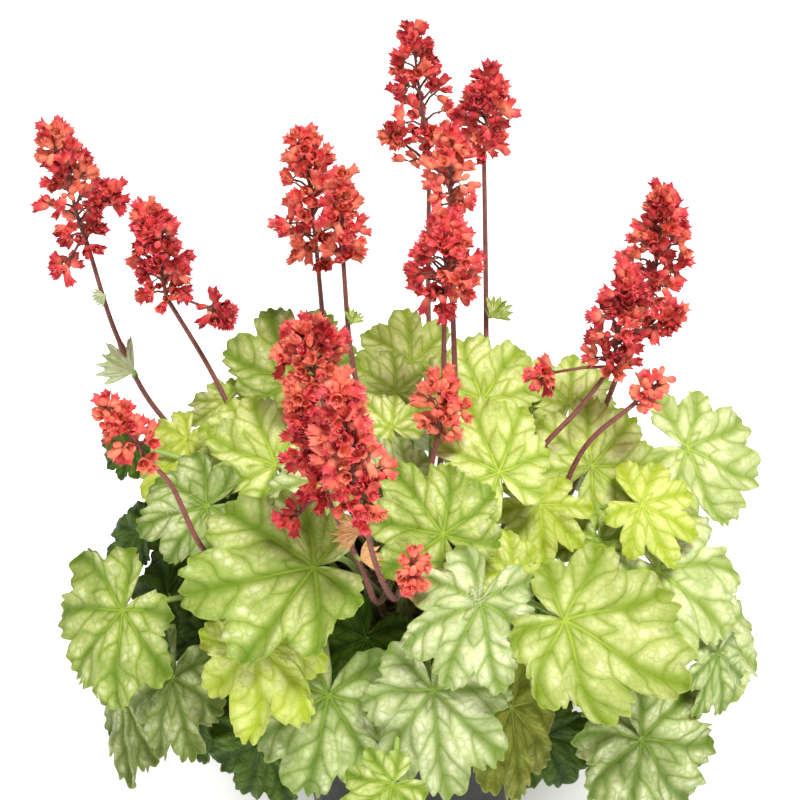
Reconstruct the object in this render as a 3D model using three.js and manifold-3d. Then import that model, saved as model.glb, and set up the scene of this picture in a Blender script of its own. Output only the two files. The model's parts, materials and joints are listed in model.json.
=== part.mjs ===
// A potted heuchera (coral bells): a black nursery pot of compost, a woody crown, a mound of lobed
// lime and silver-green leaves, and seventeen wiry scapes that carry panicles of coral-red bells.
// Millimetres, +Z up. The origin is the middle of the pot's base, and -Y is the plant's front.
import * as THREE from 'three';
import { mergeVertices } from 'three/addons/utils/BufferGeometryUtils.js';
import Module from 'manifold-3d';

const wasm = await Module();
wasm.setup();

// ---------------------------------------------------------------- driving dimensions
const GAP = 0.3; // clearance between pieces that touch
const POT = { rim: 75, base: 54, height: 130, wall: 2, lip: 3.5, lipDrop: 14, sides: 20 };
const DRAIN = { count: 4, radius: 5, ring: 34, sides: 8 };
const SOIL = { top: 113, mound: 3, ridge: 49 };
const CROWN = { radius: 43, top: 123, waist: 36, root: 30, rootDepth: 26, budRing: 37, sides: 12 };
const PETIOLE = { foot: 1.8, neck: 1.4, steps: 3, bendRise: 0.85, overRim: POT.height + 32 };
const SHEATH = { radius: 3.2, height: 5, sides: 5 };
const BLADE = { thickness: 0.8, pleat: 0.05, arch: 0.12 };
const OUTLINE = { cut: 0.2, blunt: 0.8, taper: 0.2, uneven: 0.05, notch: 20, sinus: 0.14 };
const SCAPE = { foot: 2, neck: 1.5, sides: 4, steps: 5 };
const FLORET = { length: 12, mouth: 5.5, sides: 5, throat: 0.6 };
const HEAD = { tipRadius: 1, footWidth: 0.65, swell: 1.4, close: 0.72, filled: 0.9, pitch: [0.1, 1.3] };
const SPRAY = { foot: 1, tip: 0.7 };
const GOLDEN_ANGLE = Math.PI * (3 - Math.sqrt(5));
const UP = new THREE.Vector3(0, 0, 1);

const COLOUR = {
  pot: [0x17181a, 0.45],
  soil: [0x3a2a20, 0.95],
  crown: [0x6b4a33, 0.9],
  lime: [0xc4d95e, 0.55],
  green: [0x8fb84e, 0.55],
  silver: [0xb9cf98, 0.5],
  dark: [0x4f7a33, 0.55],
  scape: [0x7a3b34, 0.6],
  coral: [0xd8373c, 0.5],
};

// ---------------------------------------------------------------- small helpers
const point = (p) => new THREE.Vector3(...p);
const radians = THREE.MathUtils.degToRad;
const lerp = THREE.MathUtils.lerp;

function finish([colour, roughness]) {
  return new THREE.MeshStandardMaterial({ color: colour, roughness, metalness: 0 });
}

function solid(geometry) {
  const bare = geometry.index ? geometry.toNonIndexed() : geometry.clone();
  bare.deleteAttribute('normal');
  bare.deleteAttribute('uv');
  const merged = mergeVertices(bare, 1e-3);
  return new wasm.Manifold(
    new wasm.Mesh({
      numProp: 3,
      vertProperties: merged.attributes.position.array,
      triVerts: new Uint32Array(merged.index.array),
    }),
  );
}

// The largest outer shell of a solid: loose scraps are dropped and sealed hollows are filled.
function oneBody(made) {
  const shells = made.decompose().filter((s) => s.volume() > 0);
  return shells.sort((a, b) => b.volume() - a.volume())[0];
}

function fuse(solids) {
  return oneBody(solids.slice(1).reduce((sum, s) => sum.add(s), solids[0]));
}

function geometryOf(made) {
  const { numProp, numVert, vertProperties, triVerts } = made.getMesh();
  const position = new Float32Array(numVert * 3);
  for (let i = 0; i < numVert; i++) {
    position.set(vertProperties.subarray(i * numProp, i * numProp + 3), i * 3);
  }
  const geometry = new THREE.BufferGeometry();
  geometry.setAttribute('position', new THREE.BufferAttribute(position, 3));
  geometry.setIndex(new THREE.BufferAttribute(triVerts, 1));
  geometry.computeVertexNormals();
  return geometry;
}

function closedGeometry(vertices, triangles) {
  const numbers = vertices.flatMap((v) => v.toArray());
  const geometry = new THREE.BufferGeometry();
  geometry.setAttribute('position', new THREE.Float32BufferAttribute(numbers, 3));
  geometry.setIndex(triangles.flat());
  return geometry;
}

// A closed tube along a curve whose radius runs from the first value to the last.
function taperedTube(curve, radii, sides, steps) {
  const frames = curve.computeFrenetFrames(steps, false);
  const vertices = [];
  const triangles = [];
  for (let i = 0; i <= steps; i++) {
    const along = i / steps;
    const radius = lerp(radii[0], radii[1], along);
    const centre = curve.getPointAt(along);
    for (let j = 0; j < sides; j++) {
      const angle = (j / sides) * 2 * Math.PI;
      const out = frames.normals[i].clone().multiplyScalar(Math.cos(angle) * radius);
      out.addScaledVector(frames.binormals[i], Math.sin(angle) * radius);
      vertices.push(centre.clone().add(out));
    }
  }
  const ring = (i, j) => i * sides + (j % sides);
  for (let i = 0; i < steps; i++) {
    for (let j = 0; j < sides; j++) {
      triangles.push([ring(i, j), ring(i, j + 1), ring(i + 1, j + 1)]);
      triangles.push([ring(i, j), ring(i + 1, j + 1), ring(i + 1, j)]);
    }
  }
  for (let j = 1; j < sides - 1; j++) {
    triangles.push([ring(0, 0), ring(0, j + 1), ring(0, j)]);
    triangles.push([ring(steps, 0), ring(steps, j), ring(steps, j + 1)]);
  }
  return solid(closedGeometry(vertices, triangles));
}

function lathe(profile, sides) {
  const geometry = new THREE.LatheGeometry(profile.map(([r, z]) => new THREE.Vector2(r, z)), sides);
  return geometry.rotateX(Math.PI / 2);
}

function prism(radius, height, sides, x, y, z) {
  const geometry = new THREE.CylinderGeometry(radius, radius, height, sides).rotateX(Math.PI / 2);
  return solid(geometry.translate(x, y, z));
}

// ---------------------------------------------------------------- pot, soil and crown
function potSolid() {
  const { rim, base, height, wall, lip, lipDrop, sides } = POT;
  const underLip = lerp(base, rim, (height - lipDrop) / height);
  let made = solid(
    lathe(
      [
        [0, 0],
        [base, 0],
        [underLip, height - lipDrop],
        [rim + lip, height - lipDrop],
        [rim + lip, height],
        [rim, height],
        [rim - wall, height - wall],
        [base - wall, wall],
        [0, wall],
      ],
      sides,
    ),
  );
  for (let i = 0; i < DRAIN.count; i++) {
    const angle = (i + 0.5) * ((2 * Math.PI) / DRAIN.count);
    const [x, y] = [DRAIN.ring * Math.cos(angle), DRAIN.ring * Math.sin(angle)];
    made = made.subtract(prism(DRAIN.radius, 4 * wall, DRAIN.sides, x, y, wall / 2));
  }
  return made;
}

const wallAt = (z) => lerp(POT.base, POT.rim, z / POT.height) - POT.wall - 2 * GAP;

function soilSolid() {
  const floor = POT.wall + GAP;
  const socket = CROWN.root + GAP;
  const seat = SOIL.top + SOIL.mound;
  return solid(
    lathe(
      [
        [0, floor],
        [wallAt(floor), floor],
        [wallAt(SOIL.top), SOIL.top],
        [SOIL.ridge, seat],
        [CROWN.waist + GAP, seat],
        [socket, seat - CROWN.rootDepth - GAP],
        [0, seat - CROWN.rootDepth - GAP],
      ],
      POT.sides,
    ),
  );
}

// The woody crown: its root stub stands in a socket in the soil and its flat top carries the buds.
function crownSolid() {
  const seat = SOIL.top + SOIL.mound;
  const geometry = lathe(
    [
      [0, seat - CROWN.rootDepth],
      [CROWN.root - GAP, seat - CROWN.rootDepth],
      [CROWN.waist - GAP, seat],
      [CROWN.waist + 2, seat + 2 * GAP],
      [CROWN.radius, seat + 3],
      [CROWN.radius - 2, CROWN.top],
      [0, CROWN.top],
    ],
    CROWN.sides,
  );
  return solid(geometry);
}

// ---------------------------------------------------------------- leaves
// A heuchera blade seen from above, as a radius for each angle from the midrib. Lobe tips lie at
// whole numbers of the lobe count, and the cuts between them at halves. The blade tapers from its
// tip to its base, where a deep notch runs in to the petiole, and no two blades are quite alike.
const LOBE_ANGLES = [0, 22, 44, 66, 88, 112, 136, 160, 180];
const LOBE_COUNTS = [0, 0.5, 1, 1.5, 2, 2.5, 3, 3.4, 3.5];

function lobeCount(angle) {
  const a = Math.min(Math.abs(angle), 180);
  const i = Math.max(1, LOBE_ANGLES.findIndex((k) => k >= a));
  const share = (a - LOBE_ANGLES[i - 1]) / (LOBE_ANGLES[i] - LOBE_ANGLES[i - 1]);
  return lerp(LOBE_COUNTS[i - 1], LOBE_COUNTS[i], share);
}

function bladeRadius(angle, { cut, taper, phase }) {
  const envelope = 1 - taper + taper * Math.cos(radians(angle));
  const lobes = 1 - cut * (1 - Math.abs(Math.cos(Math.PI * lobeCount(angle))) ** OUTLINE.blunt);
  const uneven = 1 + OUTLINE.uneven * Math.sin(2 * radians(angle) + phase);
  const basal = THREE.MathUtils.smoothstep(180 - Math.abs(angle), 0, OUTLINE.notch);
  return envelope * lobes * uneven * lerp(OUTLINE.sinus, 1, basal);
}

// The blade's height above its own plane, in blade lengths: it arches down towards its margin, is
// pleated along the lobes, and its margin is ruffled.
function bladeHeight(reach, angle, { arch, ruffle, phase }) {
  const pleat = -BLADE.pleat * reach ** 1.5 * Math.cos(2 * Math.PI * lobeCount(angle));
  const wave = ruffle * reach ** 2 * Math.sin(3 * radians(angle) + phase);
  return -arch * reach ** 2 + pleat + wave;
}

// Unit vectors out of the blade's upper face, along its midrib and across it. A turn of 0 points
// the midrib straight down the slope of the blade.
function bladeFrame([azimuth, rise], turn) {
  const [a, r, t] = [azimuth, rise, turn].map(radians);
  const face = new THREE.Vector3(Math.cos(r) * Math.cos(a), Math.cos(r) * Math.sin(a), Math.sin(r));
  const down = new THREE.Vector3(Math.sin(r) * Math.cos(a), Math.sin(r) * Math.sin(a), -Math.cos(r));
  const side = face.clone().cross(down);
  const along = down.clone().multiplyScalar(Math.cos(t)).addScaledVector(side, Math.sin(t));
  return { face, down, side, along, across: face.clone().cross(along) };
}

// The angles at which a faceted blade is drawn: its margin at each tip, cut and shoulder, an inner
// ring, and the neck where the petiole joins the underside.
const HALF_MARGIN = [0, 13, 22, 32, 44, 56, 66, 77, 90, 104, 118, 144];
const MARGIN = [...HALF_MARGIN.slice(1).reverse().map((a) => -a), ...HALF_MARGIN, 180];
const RING = [-120, -60, 0, 60, 120, 180];
const RING_REACH = 0.55;
const NECK = [-120, 0, 120];

// The triangles between two closed rings of vertices, given as angles and as first indices.
function bridge(innerAngles, innerFirst, outerAngles, outerFirst) {
  const angleAt = (list, k) => list[k % list.length] + 360 * Math.floor(k / list.length);
  const inner = (k) => innerFirst + (k % innerAngles.length);
  const outer = (k) => outerFirst + (k % outerAngles.length);
  const triangles = [];
  let i = 0;
  let j = 0;
  while (i < innerAngles.length || j < outerAngles.length) {
    const halfway = (angleAt(innerAngles, i) + angleAt(innerAngles, i + 1)) / 2;
    const stepOut = angleAt(outerAngles, j + 1) <= halfway;
    if (j < outerAngles.length && (i >= innerAngles.length || stepOut)) {
      triangles.push([inner(i), outer(j), outer(j + 1)]);
      j += 1;
    } else {
      triangles.push([inner(i), outer(j), inner(i + 1)]);
      i += 1;
    }
  }
  return triangles;
}

// The petiole's rings of three vertices, from the neck on the blade's underside to its foot. It
// rises from the crown, arches clear of the pot's rim and meets the blade from below.
function petioleRings(foot, leaf, { face, side, down }) {
  const neck = point(leaf.at).addScaledVector(face, -BLADE.thickness / 2);
  const bend = foot.clone().lerp(neck, leaf.lean);
  bend.z = Math.max(PETIOLE.overRim, lerp(foot.z, neck.z, PETIOLE.bendRise));
  const curve = new THREE.QuadraticBezierCurve3(neck, bend, foot);
  const rings = [];
  for (let i = 0; i <= PETIOLE.steps; i++) {
    const along = curve.getTangent(i / PETIOLE.steps);
    const level = side.clone().addScaledVector(along, -side.dot(along)).normalize();
    const [x, y] = i === 0 ? [down, side] : [along.clone().cross(level), level];
    const radius = lerp(PETIOLE.neck, PETIOLE.foot, i / PETIOLE.steps);
    for (const angle of NECK) {
      const turned = radians(angle + leaf.turn);
      const centre = curve.getPoint(i / PETIOLE.steps).addScaledVector(x, Math.cos(turned) * radius);
      rings.push(centre.addScaledVector(y, Math.sin(turned) * radius));
    }
  }
  return rings;
}

// One leaf as a closed body: the blade's upper and lower sheets, its rim, and the petiole's tube.
function leafSolid(foot, leaf) {
  const frame = bladeFrame(leaf.face, leaf.turn);
  const place = (reach, angle, side) => {
    const r = reach * bladeRadius(angle, leaf);
    const height = bladeHeight(r, angle, leaf) * leaf.length + (side * BLADE.thickness) / 2;
    return point(leaf.at)
      .addScaledVector(frame.along, r * Math.cos(radians(angle)) * leaf.length)
      .addScaledVector(frame.across, r * Math.sin(radians(angle)) * leaf.length * leaf.breadth)
      .addScaledVector(frame.face, height);
  };
  const sheet = (side) => [
    ...RING.map((angle) => place(RING_REACH, angle, side)),
    ...MARGIN.map((angle) => place(1, angle, side)),
  ];
  const vertices = [place(0, 0, 1), ...sheet(1), ...sheet(-1), ...petioleRings(foot, leaf, frame)];

  const size = RING.length + MARGIN.length;
  const [upper, lower, tube] = [1, 1 + size, 1 + 2 * size];
  const flip = ([p, q, r]) => [p, r, q];
  const outline = bridge(RING, 0, MARGIN, RING.length);
  const triangles = [
    ...RING.map((_, i) => [0, upper + i, upper + ((i + 1) % RING.length)]),
    ...outline.map((t) => t.map((k) => k + upper)),
    ...outline.map((t) => flip(t.map((k) => k + lower))),
    ...bridge(NECK, tube, RING, lower).map(flip),
  ];
  MARGIN.forEach((_, k) => {
    const [p, q] = [RING.length + k, RING.length + ((k + 1) % MARGIN.length)];
    triangles.push([upper + p, lower + p, lower + q], [upper + p, lower + q, upper + q]);
  });
  for (let i = 0; i < PETIOLE.steps; i++) {
    for (let k = 0; k < 3; k++) {
      const [p, q] = [tube + 3 * i + k, tube + 3 * i + ((k + 1) % 3)];
      triangles.push([p, p + 3, q + 3], [p, q + 3, q]);
    }
  }
  const last = tube + 3 * PETIOLE.steps;
  triangles.push([last, last + 2, last + 1]);
  return solid(closedGeometry(vertices, triangles));
}

// The leaves of one shoot, fused in the sheath at its foot.
function shootSolid(bud, leaves) {
  const middle = bud.clone().setZ(bud.z + SHEATH.height / 2);
  const sheath = prism(SHEATH.radius, SHEATH.height, SHEATH.sides, ...middle.toArray());
  const spread = leaves.length > 1 ? SHEATH.radius - PETIOLE.foot : 0;
  return fuse([
    sheath,
    ...leaves.map((leaf) => {
      const away = new THREE.Vector3(leaf.at[0] - bud.x, leaf.at[1] - bud.y, 0).setLength(spread);
      return leafSolid(middle.clone().add(away), leaf);
    }),
  ]);
}

// Each leaf: where its petiole meets the blade, the azimuth and rise of its upper face, the turn of
// its midrib, the blade's length from petiole to tip, and how its form departs from the common one.
function leaf(at, face, turn, length, form = {}) {
  const { cut, taper } = OUTLINE;
  const outline = { breadth: 0.95, cut, taper, phase: at[0] };
  return { at, face, turn, length, ...outline, arch: BLADE.arch, ruffle: 0.05, lean: 0.4, ...form };
}

const NARROW = { breadth: 0.65, arch: 0.1 };
const SLIM = { breadth: 0.82 };
const FULL = { breadth: 0.88 };
const LOW = { lean: 0.7 };
const CUT = { cut: 0.3 };
const ROUND = { taper: 0.08 };
const TAPERED = { taper: 0.3 };
const LANCE = { breadth: 0.48, arch: 0.1 };
const BRACT = { breadth: 0.9, cut: 0.4, lean: 0.5 };

const SHOOTS = [
  [
    'silver',
    leaf([30, -122, 208], [-85, 40], -25, 48, SLIM),
    leaf([8, -130, 163], [-95, 20], 10, 56, SLIM),
    leaf([-42, -112, 147], [-105, 20], -10, 56),
    leaf([-11, -156, 127], [-100, 30], -55, 28),
    leaf([-76, -98, 108], [-110, 10], -15, 38),
    leaf([-24, -92, 166], [-100, 30], -20, 36),
  ],
  [
    'green',
    leaf([-48, -112, 221], [-110, 45], -70, 66, TAPERED),
    leaf([-75, -114, 180], [-110, 30], 0, 47, CUT),
  ],
  [
    'dark',
    leaf([-120, -82, 136], [-130, 20], -5, 49, SLIM),
    leaf([-106, -76, 114], [-120, 10], -5, 34),
    leaf([-104, -63, 148], [-125, 30], -10, 26),
  ],
  ['green', leaf([-145, -66, 165], [-130, 30], -25, 53), leaf([-149, -50, 104], [-140, 10], 10, 54, NARROW)],
  [
    'dark',
    leaf([-142, 10, 163], [-150, 35], -30, 29),
    leaf([-133, 43, 152], [162, 35], 0, 44),
    leaf([-115, -14, 162], [-125, 45], 20, 34),
    leaf([-125, -35, 153], [-125, 35], 0, 34),
  ],
  [
    'lime',
    leaf([-118, 30, 206], [-120, 50], -10, 40, TAPERED),
    leaf([-99, 63, 210], [-120, 60], -40, 24, LOW),
    leaf([-147, 24, 206], [-135, 30], -40, 22),
  ],
  [
    'lime',
    leaf([-86, 8, 225], [-110, 60], 0, 35),
    leaf([-69, -28, 226], [-105, 55], -150, 44),
    leaf([-103, -42, 211], [-115, 50], -60, 40, LOW),
    leaf([-84, -4, 197], [-110, 45], -60, 26, LOW),
  ],
  ['green', leaf([-62, 55, 226], [-105, 50], -150, 49), leaf([-82, 86, 192], [135, 55], 0, 36)],
  ['green', leaf([-59, 127, 152], [115, 35], 0, 46), leaf([-92, 77, 160], [140, 35], 0, 44)],
  ['green', leaf([-2, 72, 228], [-100, 60], -125, 37), leaf([-30, 95, 205], [100, 60], 0, 38)],
  ['lime', leaf([-10, 34, 232], [-95, 65], -130, 31), leaf([-12, -20, 243], [-95, 65], -140, 26)],
  ['silver', leaf([-44, -50, 232], [-100, 55], -75, 31), leaf([-3, -48, 232], [-95, 55], -135, 28, NARROW)],
  ['lime', leaf([13, -96, 229], [-95, 45], -140, 44), leaf([40, -64, 244], [-85, 52], -165, 44, FULL)],
  [
    'lime',
    leaf([46, -94, 205], [-90, 45], -135, 26),
    leaf([61, -54, 219], [-85, 50], 0, 33, CUT),
    leaf([70, -124, 199], [-70, 40], 55, 66, TAPERED),
  ],
  [
    'dark',
    leaf([47, -104, 134], [-85, 5], 5, 60, LANCE),
    leaf([64, -92, 108], [-80, 5], 20, 36),
    leaf([61, -77, 169], [-80, 40], 0, 34),
  ],
  ['silver', leaf([112, -98, 110], [-60, 15], 32, 60, SLIM), leaf([102, -88, 143], [-65, 20], -10, 30)],
  ['silver', leaf([119, -62, 187], [-55, 45], 30, 55)],
  [
    'lime',
    leaf([88, -24, 223], [-75, 50], 130, 41, ROUND),
    leaf([111, -50, 217], [-65, 50], 50, 36, { lean: 0.5, cut: 0.3 }),
    leaf([90, -56, 200], [-75, 50], 0, 30),
  ],
  [
    'silver',
    leaf([140, 20, 207], [-55, 40], 55, 49),
    leaf([130, 52, 152], [22, 35], 0, 46),
    leaf([153, -38, 136], [-30, 30], 35, 46),
    leaf([151, -66, 139], [-35, 15], 0, 36),
  ],
  [
    'lime',
    leaf([34, 16, 238], [-85, 65], -175, 45),
    leaf([54, 40, 229], [-80, 60], 170, 28),
    leaf([79, 22, 232], [-80, 60], 165, 32),
  ],
  ['lime', leaf([40, 92, 205], [75, 60], 0, 40), leaf([83, 86, 160], [46, 35], 0, 44)],
  ['green', leaf([52, 130, 152], [68, 35], 0, 46), leaf([-4, 120, 160], [92, 35], 0, 44)],
];

// ---------------------------------------------------------------- flower spikes
// A scape rises from its bud, past any leafy bract, and ends just under its flower head.
function scapeSolid(bud, { stem, bracts }) {
  const tilt = point(stem[0]).sub(bud).angleTo(UP);
  const foot = bud.clone().addScaledVector(UP, SCAPE.foot * Math.sin(tilt));
  const curve = new THREE.CatmullRomCurve3([foot, ...stem.map(point)], false, 'centripetal');
  const stalk = taperedTube(curve, [SCAPE.foot, SCAPE.neck], SCAPE.sides, SCAPE.steps);
  return fuse([stalk, ...bracts.map(({ share, blade }) => leafSolid(curve.getPointAt(share), blade))]);
}

// A bell seen as a flared trumpet: a point at its stalk, a five-sided mouth and a sunk throat.
function floretSolid(stalk, direction, size) {
  const mouth = stalk.clone().addScaledVector(direction, FLORET.length * size);
  const throat = stalk.clone().addScaledVector(direction, FLORET.length * size * FLORET.throat);
  const side = new THREE.Vector3(0.31, -0.22, 0.9).cross(direction).normalize();
  const other = direction.clone().cross(side);
  const rim = [];
  for (let k = 0; k < FLORET.sides; k++) {
    const angle = (k / FLORET.sides) * 2 * Math.PI;
    const out = side.clone().multiplyScalar(Math.cos(angle)).addScaledVector(other, Math.sin(angle));
    rim.push(mouth.clone().addScaledVector(out, FLORET.mouth * size));
  }
  const triangles = rim.flatMap((_, k) => {
    const next = ((k + 1) % FLORET.sides) + 2;
    return [[0, next, k + 2], [1, k + 2, next]];
  });
  return solid(closedGeometry([stalk, throat, ...rim], triangles));
}

// A cluster of bells round an axis: a slim spindle with the bells standing out of it in a spiral,
// widest in the lower third and closing to a point at the top. The lowest bells stand level.
function clusterSolids(foot, tip, radius, count) {
  const axis = tip.clone().sub(foot);
  const along = axis.clone().normalize();
  const side = new THREE.Vector3(1, 0.2, 0).cross(along).normalize();
  const other = along.clone().cross(side);
  const swell = (t) => Math.min(1, HEAD.footWidth + HEAD.swell * t);
  const reach = (t) => radius * swell(t) * (1 - HEAD.close * t ** 2);
  const curve = new THREE.LineCurve3(foot, tip);
  const solids = [taperedTube(curve, [SCAPE.neck, HEAD.tipRadius], 3, 1)];
  for (let i = 0; i < count; i++) {
    const t = (i + 0.5) / count;
    const angle = i * GOLDEN_ANGLE;
    const out = side.clone().multiplyScalar(Math.cos(angle)).addScaledVector(other, Math.sin(angle));
    const direction = out.addScaledVector(along, lerp(...HEAD.pitch, t)).normalize();
    const stalk = foot.clone().addScaledVector(axis, t * HEAD.filled);
    solids.push(floretSolid(stalk, direction, Math.max(reach(t) / FLORET.length, 1)));
  }
  return solids;
}

function panicleSolid({ stem, tip, radius, bells, sprays }) {
  const [below, foot] = stem.slice(-2).map(point);
  const rise = foot.clone().sub(below).normalize();
  const tilt = rise.angleTo(point(tip).sub(foot));
  const start = foot.clone().addScaledVector(rise, 2 * GAP + SCAPE.neck * Math.sin(tilt));
  const solids = clusterSolids(start, point(tip), radius, bells);
  for (const spray of sprays) {
    const from = start.clone().lerp(point(tip), spray.from);
    const near = point(spray.to);
    const end = near.clone().addScaledVector(near.clone().sub(from).normalize(), spray.radius);
    solids.push(taperedTube(new THREE.LineCurve3(from, end), [SPRAY.foot, SPRAY.tip], 3, 1));
    solids.push(...clusterSolids(near, end, spray.radius, spray.bells));
  }
  return fuse(solids);
}

// Each spike: the points its scape passes, the last of them at the foot of its head, the head's
// tip, its radius and its number of bells, any sprays that stand off below it, and any bracts.
function spike(stem, tip, radius, bells, sprays = [], bracts = []) {
  return { stem, tip, radius, bells, sprays, bracts };
}

const spray = (from, to, radius, bells) => ({ from, to, radius, bells });
const bract = (share, blade) => ({ share, blade });

const SPIKES = [
  spike([[-132, 60, 201], [-155, 75, 240], [-170, 86, 292]], [-184, 90, 356], 23, 14, [
    spray(0.05, [-178, 82, 285], 9, 3),
    spray(0.02, [-160, 84, 313], 11, 3),
  ], [bract(0.69, leaf([-153, 66, 228], [-90, 35], -115, 20, BRACT))]),
  spike([[-75, 14, 194], [-107, 42, 245], [-126, 45, 281]], [-134, 50, 329], 22, 13, [
    spray(0.02, [-105, 38, 279], 10, 3),
  ]),
  spike([[-43, 39, 225], [-47, 60, 256], [-50, 72, 289]], [-56, 78, 358], 24, 14),
  spike([[-28, 6, 245], [-33, 32, 262], [-36, 40, 304]], [-37, 44, 352], 16, 10),
  spike([[10, 100, 189], [8, 130, 227], [8, 146, 304]], [-1, 155, 386], 24, 13, [
    spray(0.05, [-6, 149, 319], 9, 3),
  ]),
  spike([[37, 61, 208], [38, 90, 242], [36, 108, 333]], [38, 113, 375], 21, 11),
  spike([[20, -12, 222], [20, -4, 254], [18, 22, 312], [18, 30, 336]], [17, 34, 376], 18, 10),
  spike([[13, -16, 225], [14, -13, 258], [14, -10, 308]], [15, -8, 352], 24, 13),
  spike([[76, -6, 190], [92, 8, 226], [108, 26, 262], [119, 30, 290]], [124, 38, 345], 22, 13),
  spike([[44, -28, 189], [61, -32, 236], [80, -22, 254], [96, -14, 273]], [103, -10, 324], 21, 12, [
    spray(0.02, [68, -18, 273], 9, 3),
    spray(0.25, [116, -18, 299], 11, 3),
  ]),
  spike([[61, -40, 189], [84, -38, 244], [106, -34, 264]], [120, -32, 278], 13, 6),
  spike([[-35, -30, 183], [-40, -30, 242], [-49, -14, 266]], [-52, -6, 291], 23, 12),
  spike([[-7, -34, 170], [-18, -84, 182], [-27, -114, 226], [-42, -107, 257]], [-54, -102, 312], 18, 10, [
    spray(0.02, [-54, -106, 248], 7, 2),
  ]),
  spike([[-6, -58, 172], [-11, -98, 194], [-19, -125, 232], [-25, -132, 266]], [-35, -137, 336], 22, 13),
  spike([[3, -59, 214], [5, -66, 235], [11, -58, 262]], [13, -52, 290], 18, 10),
  spike([[-100, -70, 199], [-119, -57, 233], [-131, -56, 248]], [-148, -60, 281], 17, 10),
  spike([[-3, -36, 175], [1, -80, 191], [-7, -110, 204], [-4, -121, 218]], [0, -126, 236], 11, 6),
];

// ---------------------------------------------------------------- assembly
const root = new THREE.Group();

function add(name, made, colour) {
  const mesh = new THREE.Mesh(geometryOf(made), finish(colour));
  mesh.name = name;
  root.add(mesh);
}

// The crown's buds lie on a spiral. Every shoot and scape has one: the flattest stems stand
// outermost, and any two trade places while that brings them nearer to their own directions.
function assignBuds(targets) {
  const onDisc = (share, angle) => {
    const radius = CROWN.budRing * Math.sqrt(share);
    return new THREE.Vector3(radius * Math.cos(angle), radius * Math.sin(angle), CROWN.top + GAP);
  };
  const spread = ({ x, y, z }) => Math.hypot(x, y) / Math.max(z - CROWN.top, 1);
  const order = targets.map((_, i) => i).sort((i, j) => spread(targets[i]) - spread(targets[j]));
  const share = (rank) => (rank + 0.5) / targets.length;
  const wanted = order.map((i, rank) => onDisc(share(rank), Math.atan2(targets[i].y, targets[i].x)));
  const buds = order.map((_, rank) => onDisc(share(rank), rank * GOLDEN_ANGLE));
  const miss = (i, j) => wanted[i].distanceToSquared(buds[j]);
  for (let swapped = true; swapped; ) {
    swapped = false;
    for (let i = 0; i < buds.length; i++) {
      for (let j = 0; j < i; j++) {
        if (miss(i, j) + miss(j, i) < miss(i, i) + miss(j, j) - 1) {
          [buds[i], buds[j]] = [buds[j], buds[i]];
          swapped = true;
        }
      }
    }
  }
  return targets.map((_, i) => buds[order.indexOf(i)]);
}

const middleOf = (leaves) =>
  leaves.reduce((sum, l) => sum.add(point(l.at)), new THREE.Vector3()).divideScalar(leaves.length);
const buds = assignBuds([
  ...SHOOTS.map(([, ...leaves]) => middleOf(leaves)),
  ...SPIKES.map(({ stem }) => point(stem[0])),
]);

add('pot', potSolid(), COLOUR.pot);
add('soil', soilSolid(), COLOUR.soil);
add('crown', crownSolid(), COLOUR.crown);
const numbered = (name, i) => `${name}_${String(i + 1).padStart(2, '0')}`;
SHOOTS.forEach(([tone, ...leaves], i) => {
  add(numbered('shoot', i), shootSolid(buds[i], leaves), COLOUR[tone]);
});
SPIKES.forEach((spike, i) => {
  add(numbered('scape', i), scapeSolid(buds[SHOOTS.length + i], spike), COLOUR.scape);
  add(numbered('panicle', i), panicleSolid(spike), COLOUR.coral);
});

export default root;
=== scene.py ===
"""A potted heuchera, or coral bells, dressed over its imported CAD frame.

A mound of lobed lime and silver-green leaves stands on petioles from a woody crown in a black
nursery pot, and wiry brown-red scapes lift panicles of coral bells above it. The rows below are in
millimetres, as in the CAD source, and every mesh is made in metres in the same frame.
"""

import json
import math

import bpy
import numpy as np
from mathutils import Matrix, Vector


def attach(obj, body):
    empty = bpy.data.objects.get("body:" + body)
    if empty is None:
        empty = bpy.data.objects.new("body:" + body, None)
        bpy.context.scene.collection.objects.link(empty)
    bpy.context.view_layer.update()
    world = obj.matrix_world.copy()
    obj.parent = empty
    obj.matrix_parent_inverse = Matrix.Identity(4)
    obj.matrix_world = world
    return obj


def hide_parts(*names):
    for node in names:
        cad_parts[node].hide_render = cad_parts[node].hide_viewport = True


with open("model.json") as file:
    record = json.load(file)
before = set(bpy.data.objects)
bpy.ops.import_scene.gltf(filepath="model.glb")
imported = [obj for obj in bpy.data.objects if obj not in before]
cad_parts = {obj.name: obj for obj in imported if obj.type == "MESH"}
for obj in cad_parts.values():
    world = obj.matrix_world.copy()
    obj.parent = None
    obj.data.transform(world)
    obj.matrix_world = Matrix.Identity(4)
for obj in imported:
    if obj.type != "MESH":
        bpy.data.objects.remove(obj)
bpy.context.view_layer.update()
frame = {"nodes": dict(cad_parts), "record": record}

# ---------------------------------------------------------------- camera, light and floor
# The plant is seen from 30 degrees above, as it stands on a low table. An overcast sky and a weak
# fill light it from all sides, and a soft key light from high on the right gives it form. The floor
# is white, and lit from within but for a patch behind the pot: a painted shadow, where the mound
# of leaves keeps the sky off it.
AIM = Vector((-0.0075, 0.0, 0.247))
CAMERA_DISTANCE = 1.4
CAMERA_RISE = math.radians(30)
LENS = 126.0
SKY = {"colour": (1.0, 0.99, 0.965, 1), "strength": 0.42}
KEY = {"place": (0.45, -0.8, 2.05), "size": 0.6, "watts": 45, "colour": (1.0, 0.985, 0.95)}
FILL = {"place": (-1.4, -1.4, 0.9), "size": 1.4, "watts": 6, "colour": (1, 1, 1)}
FLOOR = {"size": 8000, "drop": 0.2, "glow_with_painted_shadow": (0.08, 0.78)}
PAINTED_SHADOW = {"squeeze": (7.8, 4.0, 0.0), "shift": (0.0, -0.72, 0.0), "inner": 0.6, "outer": 1.25}

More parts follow.
